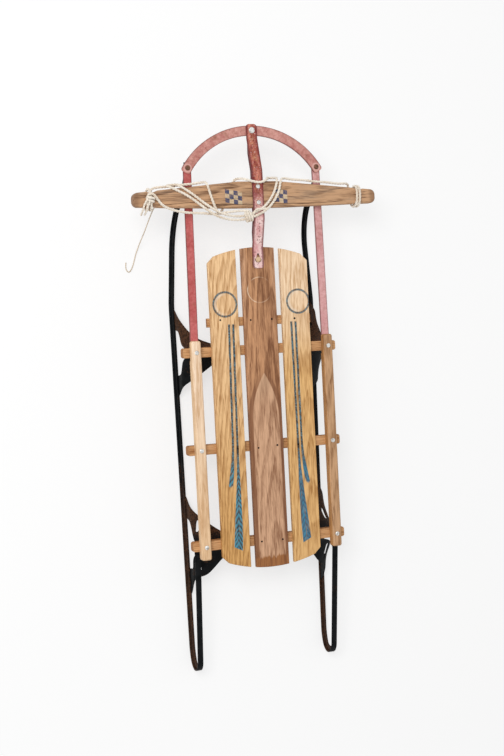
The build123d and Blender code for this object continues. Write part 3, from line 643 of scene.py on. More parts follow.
def nail_tree():
    tree, inlet, outlet = new_tree("nail_heads", ("Head Radius", "Head Flatness", "Least Size", "Most Size"))
    ball = add(tree, "GeometryNodeMeshUVSphere", None, {"Segments": 14, "Rings": 8, "Radius": inlet["Head Radius"]})
    flat = add(tree, "ShaderNodeCombineXYZ", None, {"X": 1.0, "Y": 1.0, "Z": inlet["Head Flatness"]})
    dome = add(tree, "GeometryNodeTransform", None, {"Geometry": ball, "Scale": flat})
    size = add(tree, "FunctionNodeRandomValue", {"data_type": "FLOAT"},
               {2: inlet["Least Size"], 3: inlet["Most Size"], "Seed": 5}, out=1)
    heads = add(tree, "GeometryNodeInstanceOnPoints", None,
                {"Points": inlet["Geometry"], "Instance": dome, "Scale": size})
    soft = add(tree, "GeometryNodeSetShadeSmooth", None, {"Geometry": heads})
    close_tree(tree, soft, inlet, outlet)
    return tree


bpy.data.materials.new("nail_iron")
nails = new_object("deck_nails", [(x, y, DECK_TOP) for x, y in nail_rows], [])
run_tree(nails, nail_tree(), {"Head Radius": 0.0022, "Head Flatness": 0.22, "Least Size": 0.85, "Most Size": 1.1,
                              "Material": bpy.data.materials["nail_iron"]})
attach(nails, "base")
print("nails", len(nail_rows), "faces", len(nails.data.polygons))

# %% [markdown]
# ## Shader maths in plain Python
# A finish is a small sum of masks, and sums read best as sums. The class below wraps a node's output, so
# that 1 - mask * 0.5 adds the Math nodes by itself, and node() adds any other node from its type, its
# settings and its inputs. The helpers after it are only short names for what every finish uses; layered() lays
# one colour after another over a first one.

# %% Shader helper
class Flow:
    """An output of a material's node tree that takes part in Python's arithmetic."""

    def __init__(self, tree, socket=None):
        self.tree, self.socket = tree, socket

    def node(self, kind, settings=None, inputs=None, out=0):
        plain = {k: v.socket if isinstance(v, Flow) else v for k, v in (inputs or {}).items()}
        return Flow(self.tree, add(self.tree, "ShaderNode" + kind, settings, plain, out))

    def maths(self, operation, first, second=0.0):
        return self.node("Math", {"operation": operation}, {0: first, 1: second})

    def __add__(self, other):
        return self.maths("ADD", self, other)

    def __sub__(self, other):
        return self.maths("SUBTRACT", self, other)

    def __rsub__(self, other):
        return self.maths("SUBTRACT", other, self)

    def __mul__(self, other):
        return self.maths("MULTIPLY", self, other)

    def __truediv__(self, other):
        return self.maths("DIVIDE", self, other)

    def __rtruediv__(self, other):
        return self.maths("DIVIDE", other, self)

    def __pow__(self, other):
        return self.maths("POWER", self, other)

    def __abs__(self):
        return self.maths("ABSOLUTE", self)

    __radd__, __rmul__ = __add__, __mul__


def smooth(value, low, high):
    """0 below low, 1 above high, and a soft step between; high may be the lower one."""
    return value.node("MapRange", {"interpolation_type": "SMOOTHSTEP"},
                      {"Value": value, "From Min": low, "From Max": high})


def clamp(value):
    return value.node("Clamp", None, {"Value": value})


def above_zero(value):
    return value.maths("MAXIMUM", value, 0.0)


def fraction(value):
    return value - value.maths("FLOOR", value)


def distance(across, along):
    return (across * across + along * along) ** 0.5


def noise(at, scale, detail=2.0, rough=0.5):
    return at.node("TexNoise", None, {"Vector": at, "Scale": scale, "Detail": detail, "Roughness": rough})


def blend_colour(share, first, second):
    """first where share is 0 and second where it is 1; either may be a plain colour."""
    first, second = [c if isinstance(c, Flow) else (*c, 1.0) for c in (first, second)]
    return share.node("Mix", {"data_type": "RGBA"}, {0: share, 6: first, 7: second}, out=2)


def layered(colour, *layers):
    """Lay each share and tone over a colour, in turn."""
    for share, tone in layers:
        colour = blend_colour(share, colour, tone)
    return colour


def new_finish(name):
    """A material with an empty tree, and its object coordinates as one vector and as x, y and z."""
    material = bpy.data.materials.get(name) or bpy.data.materials.new(name)
    material.use_nodes = True
    material.node_tree.nodes.clear()
    at = Flow(material.node_tree).node("TexCoord", out=3)
    return material, at, [at.node("SeparateXYZ", None, {0: at}, out=k) for k in range(3)]


def upward(at):
    """1 on faces that look up, 0 on faces that look sideways."""
    facing = at.node("SeparateXYZ", None, {0: at.node("TexCoord", out=1)}, out=2)
    return smooth(facing, 0.35, 0.75)


def stretch(at, x, y, z):
    return at.node("VectorMath", {"operation": "MULTIPLY"}, {0: at, 1: (x, y, z)})


def close_finish(material, at, colour, rough, height, relief=0.0004, **fixed):
    """Principled shader on top of the tree; fixed holds sockets that are the same all over."""
    bump = at.node("Bump", None, {"Height": height, "Distance": relief, "Strength": 1.0})
    inputs = {"Base Color": colour, "Roughness": rough, "Normal": bump}
    inputs.update({key.replace("_", " "): value for key, value in fixed.items()})
    shader = at.node("BsdfPrincipled", None, inputs)
    at.node("OutputMaterial", None, {"Surface": shader})
    return material


def dress(material, *names):
    """Give a finish to CAD nodes, by name, or to pieces made here."""
    for name in names:
        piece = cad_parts[name] if isinstance(name, str) else name
        mesh = piece.data
        if not mesh.materials:
            mesh.materials.append(material)
        for k in range(len(mesh.materials)):
            mesh.materials[k] = material


print("shader helpers ready")

# %% [markdown]
# ## Wood
# A board is a flat cut through growth rings. If the tree's heart runs a little askew under the board, the cut
# rings make the long arches that flat-sawn wood shows. So the finish measures the distance from that slanting
# heart and counts rings in it. On top of that come streaks a finger long, short dark pores, fine fibres and slow
# clouds of stain, all made of noise that is drawn out along the board.

# %% Wood grain
Grain = namedtuple("Grain", "line streak pore fibre cloud")
RINGS_LEAST, WOOD_ROUGH, WOOD_SHINE = 0.0038, 0.58, 0.3


def drawn(at, along, share, seed=0.0):
    """Coordinates squeezed along the board, so that noise on them comes out as streaks."""
    pull = [1.0, 1.0, 1.0]
    pull[along] = share
    return at.node("VectorMath", {"operation": "MULTIPLY_ADD"}, {0: at, 1: pull, 2: (seed, seed * 0.7, seed * 1.3)})


def grain(at, xyz, along, heart, depth, slope, ring=RINGS_LEAST, sway=0.006, seed=0.0):
    """The parts of a board's figure, each 0 to 1; the board's length runs along axis 0 (x) or 1 (y)."""
    long_way = drawn(at, along, 0.06, seed)
    drift = noise(long_way, 26.0, 2.0) - 0.5
    level = xyz[along] * slope + depth + xyz[2] * 0.5 + drift * sway
    saw = fraction(distance(xyz[1 - along] - heart, level) / ring + noise(long_way, 160.0, 2.0) * 0.35)
    return Grain(
        line=smooth(saw, 0.25, 0.88) * smooth(saw, 1.0, 0.9),
        streak=noise(drawn(at, along, 0.08, seed), 270.0, 4.0, 0.6),
        pore=smooth(noise(drawn(at, along, 0.06, seed), 620.0, 1.0), 0.55, 0.70),
        fibre=noise(drawn(at, along, 0.015, seed), 1300.0, 3.0, 0.6),
        cloud=smooth(noise(long_way, 11.0, 3.0), 0.3, 0.7),
    )


def wood_colour(light, dark, g, streaks=2.3, clouds=0.25):
    share = g.line * 0.4 + (g.streak - 0.5) * streaks + g.pore * (g.line * 0.6 + 0.4) * 0.7
    return blend_colour(clamp(share + (g.fibre - 0.5) * 0.6 + (g.cloud - 0.5) * clouds + 0.2), light, dark)


def wood_relief(g):
    return g.fibre * 0.35 - g.pore * 0.45 - g.line * 0.2


def close_wood(material, at, colour, rough, height):
    return close_finish(material, at, colour, rough, height, Specular_IOR_Level=WOOD_SHINE)


def plain_wood(name, along, top, sides, cut, ring=RINGS_LEAST, seed=0.0, rear=None):
    """Wood with one tone pair for faces that look up and one for its sides; each is a light and a dark tone. On the
    brown rail the greyer top is weathering; on the benches and the pale rail the darker sides are painted shade.
    A third pair, rear, is for a top that differs towards the rear end. cut is grain's heart, depth and slope."""
    material, at, xyz = new_finish(name)
    g = grain(at, xyz, along, *cut, ring, seed=seed)
    above = wood_colour(*top, g)
    if rear:
        above = blend_colour(smooth(xyz[1], 0.08, -0.30), above, wood_colour(*rear, g))
    colour = blend_colour(upward(at), wood_colour(*sides, g), above)
    return close_wood(material, at, colour, g.cloud * 0.1 + g.pore * 0.1 + WOOD_ROUGH, wood_relief(g))


# Benches: the darker side tones are painted shade, for sides that lie under and between the boards.
bench_wood = plain_wood(
    "bench_wood", 0, ((0.66, 0.37, 0.17), (0.30, 0.125, 0.040)), ((0.46, 0.20, 0.06), (0.20, 0.07, 0.015)),
    cut=(-0.1, 0.02, 0.03), seed=1.7)
# Pale rail: the darker side tones are painted shade on its side faces.
rail_pale = plain_wood(
    "rail_pale", 1, ((0.93, 0.72, 0.53), (0.66, 0.42, 0.24)), ((0.80, 0.56, 0.34), (0.56, 0.32, 0.15)),
    cut=(-0.14, 0.03, 0.02), ring=0.005, seed=3.1, rear=((0.84, 0.58, 0.35), (0.58, 0.34, 0.17)))
rail_brown = plain_wood(
    "rail_brown", 1, ((0.58, 0.34, 0.18), (0.26, 0.125, 0.052)), ((0.56, 0.29, 0.11), (0.28, 0.11, 0.03)),
    cut=(0.17, 0.03, 0.03), seed=5.3)
dress(bench_wood, "bench_front", "bar_middle", "bench_rear", "cleat_front")
dress(rail_pale, "rail_wood_left")
dress(rail_brown, "rail_wood_right")
print("plain woods", [m.name for m in (bench_wood, rail_pale, rail_brown)])

# %% [markdown]
# ## Side boards and their markings
# The side boards are golden oak, a little deeper towards the rear, and carry a ring and two thin stripes: the
# outer stripe flicks outwards, the inner one widens to a tail. These are masks in x and y: a ring is a distance
# from its middle, and a stripe is a distance from a line that bends by a square law. The dark stripe turns blue
# in its tail, with lighter bands in the shape of arrows. Pores break the paint as they do on old boards.

# %% Side boards
STRIPE_START, STRIPE_BEND, STRIPE_HALF = 0.170, -0.094, 0.0025
BOARD_RING, BAND_LONG = 0.0044, 0.0125
TEALS = (0.009, 0.019, 0.029), (0.060, 0.165, 0.215)
BLUSH, NAIL_STAIN = (0.82, 0.72, 0.60), (0.020, 0.012, 0.008)


def stripe_middle(y, start, slope, bend):
    """Where a stripe runs, by y. It leaves its straight line below STRIPE_BEND."""
    below = above_zero(STRIPE_BEND - y)
    return (y - STRIPE_START) * slope + start + below * below * bend


def stripe(x, y, middle, half, end):
    """Cover of a painted stripe round its middle, from STRIPE_START to where end fades to 0."""
    begun = smooth(y, STRIPE_START + 0.002, STRIPE_START - 0.001)
    return smooth(abs(x - middle) - half, 0.0006, -0.0006) * begun * end


def side_board(name, front, rear, fade, heart, slope, seed, ring_at, inner, outer, way, blues, arrows,
               tail_end, flick_end, nail):
    """front and rear are tone pairs, fade the two y between which they change; ring_at is x, y and radius.
    inner and outer describe the stripes, blues and arrows the tail's tones and the strength of its bands."""
    material, at, xyz = new_finish(name)
    x, y = xyz[:2]
    g = grain(at, xyz, 1, heart, depth=0.012, slope=slope, ring=BOARD_RING, sway=0.012, seed=seed)
    above = upward(at)
    wood = blend_colour(smooth(y, *fade), wood_colour(*front, g), wood_colour(*rear, g))
    ring_x, ring_y, ring_r = ring_at
    off_ring = distance(x - ring_x, y - ring_y) - ring_r
    ring = smooth(abs(off_ring), 0.0028, 0.0017)
    blush = smooth(abs(off_ring + 0.0045), 0.004, 0.001) * smooth(x, ring_x + 0.008, ring_x - 0.014) * 0.5
    middle = stripe_middle(y, *inner)
    slant = y + (x - inner[0]) * (0.5 * way)
    tail_half = smooth(y, -0.11, -0.33) * 0.0075 + STRIPE_HALF
    tail = stripe(x, y, middle, tail_half, smooth(slant, tail_end, tail_end + 0.002))
    round_end = smooth(y, flick_end - 0.001, flick_end + 0.008)
    flick_half = (smooth(y, -0.10, -0.18) * 0.0024 + STRIPE_HALF) * round_end
    flick = stripe(x, y, stripe_middle(y, *outer), flick_half, round_end)
    worn = (1 - g.pore * 0.35) * smooth(noise(at, 210.0, 3.0), 0.18, 0.36)
    cover = clamp((ring * 0.9 + tail + flick) * worn) * above
    bands = fraction((y + abs(x - middle) * 1.7 + noise(drawn(at, 1, 0.3, seed), 90.0) * 0.02) / BAND_LONG)
    band = smooth(bands, 0.1, 0.6) * smooth(bands, 1.0, 0.8)
    tint = blend_colour(clamp(band * arrows + (g.streak - 0.5) * 2.6 + 0.1), *blues)
    teal = blend_colour(smooth(noise(at, 330.0, 2.0), 0.42, 0.6), *TEALS)
    smear = distance(x - nail[0], (y - nail[1]) * 0.22) + (g.streak - 0.5) * 0.006
    colour = layered(wood, (blush * (1 - g.pore) * above, BLUSH),
                     (cover * 0.95, blend_colour(smooth(y, -0.11, -0.18), teal, tint)),
                     (smooth(smear, 0.0042, 0.0018) * above * 0.8, NAIL_STAIN))
    rough = 0.62 - g.cloud * 0.08 - cover * 0.06
    return close_wood(material, at, colour, rough, wood_relief(g) + cover * 0.15)


oak_left = side_board(
    "oak_left", front=((0.88, 0.58, 0.31), (0.44, 0.215, 0.075)), rear=((0.72, 0.405, 0.140), (0.33, 0.140, 0.032)),
    fade=(0.20, -0.36), heart=-0.052, slope=0.075, seed=2.3, ring_at=(-0.0823, 0.215, 0.0268),
    inner=(-0.0654, 0.0164, -0.106), outer=(-0.0752, 0.0197, -0.91), way=1,
    blues=((0.003, 0.022, 0.042), (0.036, 0.275, 0.390)), arrows=0.85,
    tail_end=-0.336, flick_end=-0.193, nail=(-0.070, -0.108))
oak_right = side_board(
    "oak_right", front=((0.93, 0.69, 0.46), (0.60, 0.36, 0.18)), rear=((0.78, 0.47, 0.19), (0.40, 0.185, 0.05)),
    fade=(0.24, 0.04), heart=0.105, slope=0.05, seed=6.9, ring_at=(0.0905, 0.215, 0.0262),
    inner=(0.0720, -0.009, 0.16), outer=(0.0821, -0.0045, 1.05), way=-1,
    blues=((0.006, 0.065, 0.125), (0.030, 0.255, 0.410)), arrows=0.4,
    tail_end=-0.332, flick_end=-0.198, nail=(0.0745, -0.1065))
dress(oak_left, "board_left")
dress(oak_right, "board_right")
print("side boards", oak_left.name, oak_right.name)

# %% [markdown]
# ## Centre board
# The centre board was stained brown round a pointed panel that was left lighter. The panel is another mask:
# its half width falls off by a square law to the point, and noise drawn out along the board frays its lower
# end. A scribed circle, half worn away, and rubbed places near the front let the bare wood through the stain.

# %% Centre board
PANEL_X, PANEL_HALF, PANEL_FROM, PANEL_POINT, PANEL_END = 0.001, 0.0315, -0.045, 0.104, -0.340
CIRCLE_X, CIRCLE_Y, CIRCLE_R = 0.0005, 0.244, 0.0282
material, at, xyz = new_finish("stained_centre")
x, y = xyz[:2]
g = grain(at, xyz, 1, heart=0.012, depth=0.03, slope=0.03, ring=BOARD_RING, sway=0.01, seed=9.2)
stain = layered(wood_colour((0.58, 0.295, 0.145), (0.185, 0.070, 0.026), g, clouds=0.6),
                (smooth(y, -0.335, -0.350), wood_colour((0.46, 0.19, 0.055), (0.20, 0.065, 0.014), g)),
                (smooth(y, 0.06, -0.03) * 0.4, (0.20, 0.075, 0.030)))
bare = wood_colour((0.68, 0.405, 0.245), (0.28, 0.130, 0.064), g, clouds=0.3)
reach = above_zero(y - PANEL_FROM) / PANEL_POINT
frayed = smooth(y + noise(drawn(at, 1, 0.05), 160.0) * 0.03, PANEL_END, PANEL_END + 0.006)
edge = abs(x - PANEL_X) - (1 - reach * reach) * PANEL_HALF
panel = smooth(edge, 0.0012, -0.0012) * frayed
tip = smooth(reach, 0.25, 0.8) * panel
rubbed = smooth(abs(x) + noise(at, 30.0) * 0.012, 0.030, 0.042) * smooth(y, 0.12, 0.30) * 0.55
scribe = smooth(abs(distance(x - CIRCLE_X, y - CIRCLE_Y) - CIRCLE_R), 0.0014, 0.0006)
scribe = scribe * smooth(noise(at, 45.0), 0.35, 0.6) * smooth(x, 0.03, -0.01)
margin = smooth(edge, 0.0105, 0.0085) * (1 - smooth(edge, 0.001, -0.001)) * frayed * smooth(y, 0.07, 0.02)
colour = layered(stain, (clamp(panel * 0.9 + rubbed + scribe * 0.7), bare), (tip * 0.35, (0.62, 0.40, 0.25)),
                 (scribe * 0.8, (0.80, 0.60, 0.42)), (margin * 0.6, (0.165, 0.062, 0.026)))
stained_centre = close_wood(material, at, colour, 0.6 - g.cloud * 0.08, wood_relief(g) - scribe * 0.5)
dress(stained_centre, "board_centre")
print("centre board", stained_centre.name)

# %% [markdown]
# ## Handle
# The handle is one weathered board with the grain along it, greyed by the weather and cracked along its rear
# half; the crack is a dent in the bump with a dark line of painted shade. Two patches of blue checks, printed
# askew, flank the bar; a check is painted where the two whole numbers of its column and row add up to an even one.

# %% Handle wood
CHECK, CHECK_ROWS, CHECK_LOW_Y, CHECK_SKEW, CHECK_EDGE = 0.0098, 3, 0.4365, 0.18, 0.04
CRACK_Y = 0.4315
material, at, xyz = new_finish("handle_wood")
x, y, z = xyz
g = grain(at, xyz, 0, heart=0.47, depth=0.02, slope=0.03, ring=0.0040, sway=0.012, seed=4.4)
grey = smooth(noise(stretch(at, 0.2, 1.0, 1.0), 60.0, 4.0), 0.48, 0.72)
ends = smooth(abs(x) + noise(at, 70.0, 3.0) * 0.012, 0.268, 0.282)
checks, paper = 0.0, 0.0
for low_x, columns in ((-0.076, 4), (0.040, 3)):
    u, v = (x - low_x) / CHECK, (y - CHECK_LOW_Y + (x - low_x) * CHECK_SKEW) / CHECK
    odd = u.maths("FLOORED_MODULO", u.maths("FLOOR", u) + u.maths("FLOOR", v), 2.0)
    inside = smooth(u, 0.0, CHECK_EDGE) * smooth(u, columns, columns - CHECK_EDGE)
    inside = inside * smooth(v, 0.0, CHECK_EDGE) * smooth(v, CHECK_ROWS, CHECK_ROWS - CHECK_EDGE)
    checks, paper = inside * (1 - odd) + checks, inside * odd + paper
on_top = smooth(z, 0.1415, 0.1425) * (1 - g.pore * 0.5) * smooth(noise(at, 240.0, 3.0), 0.25, 0.45)
wander = (noise(stretch(at, 1.0, 0.0, 0.0), 22.0) - 0.5) * 0.004
# The crack's dark line is painted shade inside it; its dent is in the bump.
crack_dent_and_shade = smooth(abs(y - CRACK_Y - wander), 0.0009, 0.0002) * smooth(abs(x), 0.14, 0.10) * smooth(z, 0.139, 0.141)
colour = layered(wood_colour((0.57, 0.335, 0.185), (0.13, 0.058, 0.026), g, streaks=2.6, clouds=0.6),
                 (grey * 0.4, (0.33, 0.235, 0.165)), (ends * 0.6, (0.19, 0.095, 0.05)),
                 (paper * on_top * 0.45, (0.80, 0.70, 0.47)), (checks * on_top * 0.92, (0.026, 0.050, 0.130)),
                 (crack_dent_and_shade * 0.85, (0.10, 0.045, 0.02)))
handle_wood = close_wood(material, at, colour, 0.66 - g.cloud * 0.1, wood_relief(g) - crack_dent_and_shade * 2.0)
dress(handle_wood, "handle")
print("handle", handle_wood.name)

# %% [markdown]
# ## Red paint
# Bumper, front rails and bar wear the same red, faded to rose where sun and hands have rubbed it. Paint goes
# first at the edges, so each piece measures how far a point lies from its own middle line. The dark line along
# each edge is painted shade of the rounded edge. Brown specks are rust that has come through, and the bumper
# has a paler worn ring round each corner rivet.

# %% Painted steel
RAIL_HINGE_X, RAIL_HALF, BUMPER_RISE, BUMPER_HALF, WASHER_R = 0.1555, 0.009, 0.081, 0.011, 0.0078
EDGE_WEAR, PAINT_SHINE, PAINT_RELIEF = 0.2, 0.3, 0.00025
rail_lean = (RAIL_HINGE_X - CORNER_X) / (CORNER_Y - BENCH_FRONT_Y)
bumper_r = (CORNER_X**2 + BUMPER_RISE**2) / (2 * BUMPER_RISE)


def from_rail(x, y):
    return abs(x) + (y - BENCH_FRONT_Y) * rail_lean - RAIL_HINGE_X


def from_bumper(x, y):
    return distance(x, y - CORNER_Y - BUMPER_RISE + bumper_r) - bumper_r


def red_paint(name, measure, half, fresh, faded, speckle, washers=False):
    material, at, xyz = new_finish(name)
    x, y = xyz[:2]
    off = abs(measure(x, y))
    cloud = smooth(noise(at, 22.0, 4.0), 0.3, 0.7)
    fine = noise(at, 520.0, 3.0, 0.6)
    mottle = smooth(noise(at, 120.0, 4.0, 0.65), 0.3, 0.7)
    dull = smooth(noise(at, 75.0, 4.0, 0.65), 0.5, 0.72)
    specks = smooth(noise(at, 230.0, 3.0, 0.6), 0.60, 0.68)
    rim = smooth(off, half - 0.0022, half - 0.0002)
    bare = smooth(noise(at, 140.0, 4.0, 0.6) + rim * EDGE_WEAR, 0.70, 0.80)
    rust = blend_colour(smooth(noise(at, 300.0), 0.35, 0.65), (0.16, 0.065, 0.035), (0.30, 0.17, 0.12))
    # The dark line close to each edge is painted shade of the rounded edge.
    colour = layered(blend_colour(cloud * 0.4 + mottle * 0.45 + fine * 0.15, fresh, faded),
                     (dull * speckle, (0.33, 0.145, 0.09)), (specks * speckle, (0.20, 0.085, 0.05)),
                     (smooth(off, half - 0.0022, half - 0.0004) * 0.7, (0.13, 0.030, 0.032)), (bare * 0.7, rust))
    if washers:
        off_washer = distance(abs(x) - CORNER_X, y - CORNER_Y) - WASHER_R
        colour = layered(colour, (smooth(abs(off_washer), 0.0022, 0.001) * 0.45, (0.80, 0.52, 0.46)))
    return close_finish(material, at, colour, fine * 0.15 + bare * 0.2 + 0.46,
                        fine * 0.25 - bare * 0.6 + cloud * 0.2, PAINT_RELIEF, Specular_IOR_Level=PAINT_SHINE)


red_left = red_paint("red_left", from_rail, RAIL_HALF, (0.35, 0.038, 0.036), (0.63, 0.175, 0.170), speckle=0.3)
red_right = red_paint("red_right", from_rail, RAIL_HALF, (0.51, 0.195, 0.195), (0.77, 0.45, 0.44), speckle=0.35)
red_bumper = red_paint("red_bumper", from_bumper, BUMPER_HALF, (0.36, 0.095, 0.08), (0.74, 0.40, 0.34),
                       speckle=0.7, washers=True)
dress(red_left, "rail_steel_left")
dress(red_right, "rail_steel_right")
dress(red_bumper, "bumper")
print("red paint", [m.name for m in (red_left, red_right, red_bumper)])

# %% [markdown]
# ## Steering bar
# The bar is the deepest red at its front end, where the rope and the driver's feet rubbed an orange-brown
# track along its middle, and it turns pale rose towards the pivot: partly faded paint, partly a painted highlight.
# Two colours are mixed by y for that. Light specks and dark pits are scattered over both, the edges and the side
# faces are darkened with painted shade, and a dark drop of painted shade marks the slot at the pivot.

# %% Bar paint
PIVOT_Y, SLOT_R = 0.311, 0.0080
material, at, xyz = new_finish("red_bar")
x, y = xyz[:2]
front = smooth(y, 0.40, 0.475)
fine = noise(at, 480.0, 3.0, 0.6)
cloud = smooth(noise(stretch(at, 1.0, 0.45, 1.0), 60.0, 4.0, 0.6), 0.35, 0.7)
deep = blend_colour(cloud, (0.20, 0.016, 0.012), (0.68, 0.24, 0.17))
# Pale rose towards the pivot: partly faded paint, partly a painted highlight.
rose_and_highlight = blend_colour(cloud, (0.66, 0.31, 0.31), (0.92, 0.70, 0.66))
rub = smooth(abs(x + 0.001), 0.009, 0.002) * smooth(noise(at, 85.0, 4.0, 0.65), 0.42, 0.62)
specks = smooth(noise(at, 330.0, 2.0), 0.62, 0.68)
pits = smooth(noise(at, 240.0, 3.0, 0.6), 0.58, 0.64)
bare = smooth(noise(at, 170.0, 4.0, 0.6) + smooth(abs(x), 0.0095, 0.0123) * EDGE_WEAR, 0.68, 0.78)
ahead = y - PIVOT_Y
# The dark drop at the pivot is painted shade in the slot's opening.
slot_shade = distance(x, ahead * smooth(ahead, 0.013, -0.002) + ahead * 0.12) + above_zero(ahead) * 0.42
# The dark band along both long edges is painted shade.
colour = layered(blend_colour(front, rose_and_highlight, deep), (rub * front * 0.7, (0.48, 0.21, 0.10)),
                 (specks * 0.7, (0.80, 0.62, 0.58)), (pits * 0.75, (0.13, 0.02, 0.018)),
                 (smooth(abs(x) + fine * 0.003, 0.0085, 0.0122) * 0.8, (0.15, 0.018, 0.020)),
                 (bare * 0.7, (0.17, 0.07, 0.045)), (smooth(slot_shade, SLOT_R, SLOT_R - 0.001), (0.022, 0.009, 0.007)))
# The side faces are painted dark maroon: painted shade on the flanges.
colour = blend_colour(upward(at), (0.105, 0.008, 0.010), colour)
red_bar = close_finish(material, at, colour, fine * 0.15 + bare * 0.2 + 0.44, fine * 0.2 - bare * 0.6, PAINT_RELIEF,
                       Specular_IOR_Level=PAINT_SHINE)
dress(red_bar, "steering_bar")
print("bar", red_bar.name)

# %% [markdown]
# ## Black enamel and rust
# Runners and knees were dipped in black enamel. It is almost dull now, slightly blue, and lets brown rust through
# where the steel is bent or rubbed: on the knees' forward arms and along the rear of the runners. The sole that
# slides on snow is bare steel with scratches along it.

# %% Runner and knee enamel
RUST_LEAST = 0.03


def enamel(name, rust_share, browned=None, worn_sole=False):
    """browned is a function of y and z that says where the enamel has gone brown."""
    material, at, xyz = new_finish(name)
    y, z = xyz[1:]
    gone = browned(y, z) if browned else 0.0
    coarse = noise(at, 16.0, 5.0, 0.65)
    fine = noise(at, 260.0, 4.0, 0.65)
    rust = smooth(coarse * 0.65 + fine * 0.35 + gone, 0.62 - rust_share, 0.74 - rust_share)
    brown = blend_colour(smooth(fine, 0.35, 0.65), (0.024, 0.011, 0.006), (0.085, 0.040, 0.021))
    black = blend_colour(smooth(noise(at, 55.0), 0.3, 0.7), (0.0025, 0.003, 0.0035), (0.008, 0.009, 0.010))
    colour = blend_colour(clamp(rust + gone * 6.0), black, brown)
    if worn_sole:
        scratched = smooth(noise(stretch(at, 1.0, 0.04, 1.0), 400.0, 2.0), 0.3, 0.55)
        colour = layered(colour, (smooth(z, 0.0012, 0.0004) * scratched, (0.34, 0.33, 0.32)))
    return close_finish(material, at, colour, rust * 0.2 + fine * 0.12 + 0.46, fine * 0.5 + rust * 0.5, 0.0003,
                        Specular_IOR_Level=0.06)


def brown_rear(y, z):
    """The runner's rear end, without the upper leg."""
    return smooth(y, -0.12, -0.30) * smooth(z, 0.055, 0.035) * 0.11


runner_enamel = enamel("runner_enamel", RUST_LEAST, brown_rear, worn_sole=True)
knee_front = enamel("knee_front_enamel", 2 * RUST_LEAST, lambda y, z: smooth(y, 0.112, 0.125) * 0.14)
knee_rear = enamel("knee_rear_enamel", 2 * RUST_LEAST, lambda y, z: smooth(y, -0.31, -0.28) * 0.11)
nail_iron = enamel("nail_iron", rust_share=0.10)
dress(runner_enamel, *runners.values())
dress(knee_front, knees["knee_front_left"], knees["knee_front_right"])
dress(knee_rear, knees["knee_rear_left"], knees["knee_rear_right"])
dress(nail_iron, nails)
print("enamels", [m.name for m in (runner_enamel, knee_front, knee_rear, nail_iron)])

# %% [markdown]
# ## Zinc bolts and brown rivets
# The round bolt heads are dull zinc with grime in the pits, the rivets at the bumper's corners have gone brown and
# the pivot bolt tan. All are the same finish with other colours: a fine pitted surface whose roughness rises with
# the grime. The small rivets of the runners' rear ends were dipped with the knees, so they take the enamel.

# %% Zinc and rivets
def bright_metal(name, clean, dirty, rough, metal):
    material, at, _ = new_finish(name)
    fine = noise(at, 700.0, 3.0, 0.6)
    grime = smooth(noise(at, 190.0, 4.0, 0.6), 0.42, 0.7)
    colour = blend_colour(grime, clean, dirty)
    return close_finish(material, at, colour, grime * 0.3 + rough, fine * 0.4 - grime * 0.3, 0.00015,
                        Metallic=metal)


zinc = bright_metal("zinc", (0.74, 0.74, 0.72), (0.34, 0.32, 0.29), rough=0.38, metal=0.6)
brown_rivet = bright_metal("brown_rivet", (0.17, 0.070, 0.032), (0.045, 0.018, 0.010), rough=0.45, metal=0.2)
tan_bolt = bright_metal("tan_bolt", (0.66, 0.46, 0.28), (0.36, 0.22, 0.12), rough=0.5, metal=0.1)
dress(zinc, "rail_bolts", "middle_bolt", "handle_rivets")
dress(tan_bolt, "pivot_bolt")
dress(brown_rivet, "corner_rivets")
dress(knee_rear, "leg_rivets")
print("metals", zinc.name, brown_rivet.name, tan_bolt.name)

# %% [markdown]
# ## Rope fibre
# Cotton scatters light from a fuzz of loose fibres and shows no gloss. The fibres run along the strands, so the
# noise is laid out on the cord's own UV map, which runs along and round it, and soil gathers in patches.

# %% Rope and twine fibre
def fibre_finish(name, clean, dirty, soil):
    material, at, _ = new_finish(name)
    thread = noise(stretch(at.node("TexCoord", out=2), 40.0, 26.0, 1.0), 6.0, 3.0, 0.6)
    patch = smooth(noise(at, 35.0, 3.0), 0.45, 0.75)
    colour = blend_colour(patch * soil + (1 - thread) * 0.25, clean, dirty)
    return close_finish(material, at, colour, thread * 0.1 + 0.8, thread, 0.0005, Sheen_Weight=0.25)


cotton = fibre_finish("cotton", (0.97, 0.90, 0.79), (0.70, 0.53, 0.36), soil=0.45)
jute = fibre_finish("jute", (0.80, 0.68, 0.52), (0.50, 0.37, 0.23), soil=0.5)
dress(cotton, tow_rope, *knot_pieces)
dress(jute, twine)
print("cords", cotton.name, jute.name)

# %% [markdown]
# ## Floor, light and world
# The photograph was taken on a white sweep under soft light. A white world fills the shadows and one large lamp
# from the upper left gives them a side. The two together light a flat surface to about its own colour. The
# floor is matt white; for the camera and for mirror rays a part of its colour is given off as light, so that it
# renders white and still takes the sled's shadow. The world is plain white for the same rays.

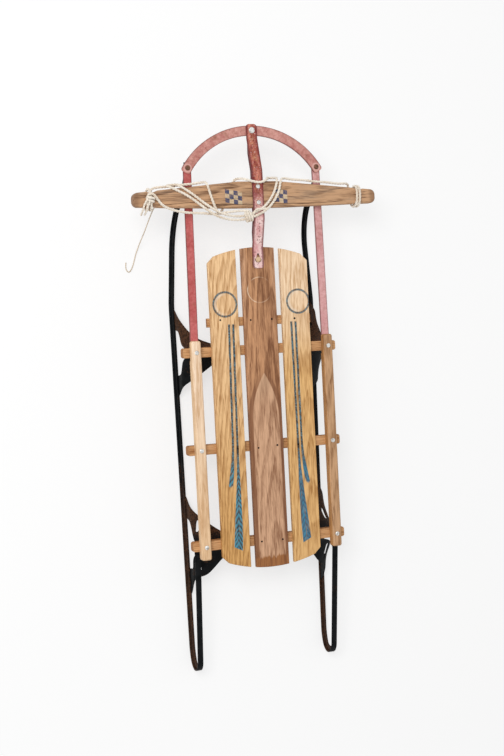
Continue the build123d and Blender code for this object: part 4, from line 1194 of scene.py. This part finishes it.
# %% Floor, light and world
FLOOR_HALF, FLOOR_GLOW, FLOOR_COLOUR, WHITE = 6.0, 0.66, (0.96, 0.96, 0.96, 1.0), (1.0, 1.0, 1.0, 1.0)
LAMP_WATTS, LAMP_WIDE, LAMP_PLACE, WORLD_STRENGTH = 70, 1.6, (-1.7, 1.0, 3.2), 0.57


def seen_rays(flow):
    """1 for rays that show a surface to the camera, straight or by a mirror, and 0 for rays that light others."""
    rays = [flow.node("LightPath", out=f"Is {kind} Ray") for kind in ("Camera", "Glossy", "Transmission")]
    return flow.maths("MAXIMUM", flow.maths("MAXIMUM", rays[0], rays[1]), rays[2])


corners = [(FLOOR_HALF * x, FLOOR_HALF * y, 0) for x, y in ((-1, -1), (1, -1), (1, 1), (-1, 1))]
floor = new_object("floor", corners, [(0, 1, 2, 3)])
floor_material, at, _ = new_finish("floor_white")
matt = at.node("BsdfDiffuse", None, {"Color": FLOOR_COLOUR})
glow = at.node("Emission", None, {"Color": WHITE, "Strength": 1.0})
mixed = at.node("MixShader", None, {0: seen_rays(at) * FLOOR_GLOW, 1: matt, 2: glow})
at.node("OutputMaterial", None, {"Surface": mixed})
dress(floor_material, floor)
lamp_data = bpy.data.lights.new("softbox", "AREA")
lamp_data.shape, lamp_data.size, lamp_data.energy = "SQUARE", LAMP_WIDE, LAMP_WATTS
lamp = placed("softbox", lamp_data)
lamp.location = LAMP_PLACE
lamp.rotation_euler = (-lamp.location).to_track_quat("-Z", "Y").to_euler()
world = bpy.data.worlds.new("studio")
bpy.context.scene.world = world
world.use_nodes = True
world.node_tree.nodes.clear()
sky = Flow(world.node_tree)
fill, backdrop = [sky.node("Background", None, {"Color": WHITE, "Strength": s}) for s in (WORLD_STRENGTH, 1.0)]
mixed = sky.node("MixShader", None, {0: seen_rays(sky), 1: fill, 2: backdrop})
sky.node("OutputWorld", None, {"Surface": mixed})
bpy.context.scene.view_settings.view_transform = "Standard"
print("light", LAMP_WATTS, "W, world", WORLD_STRENGTH)
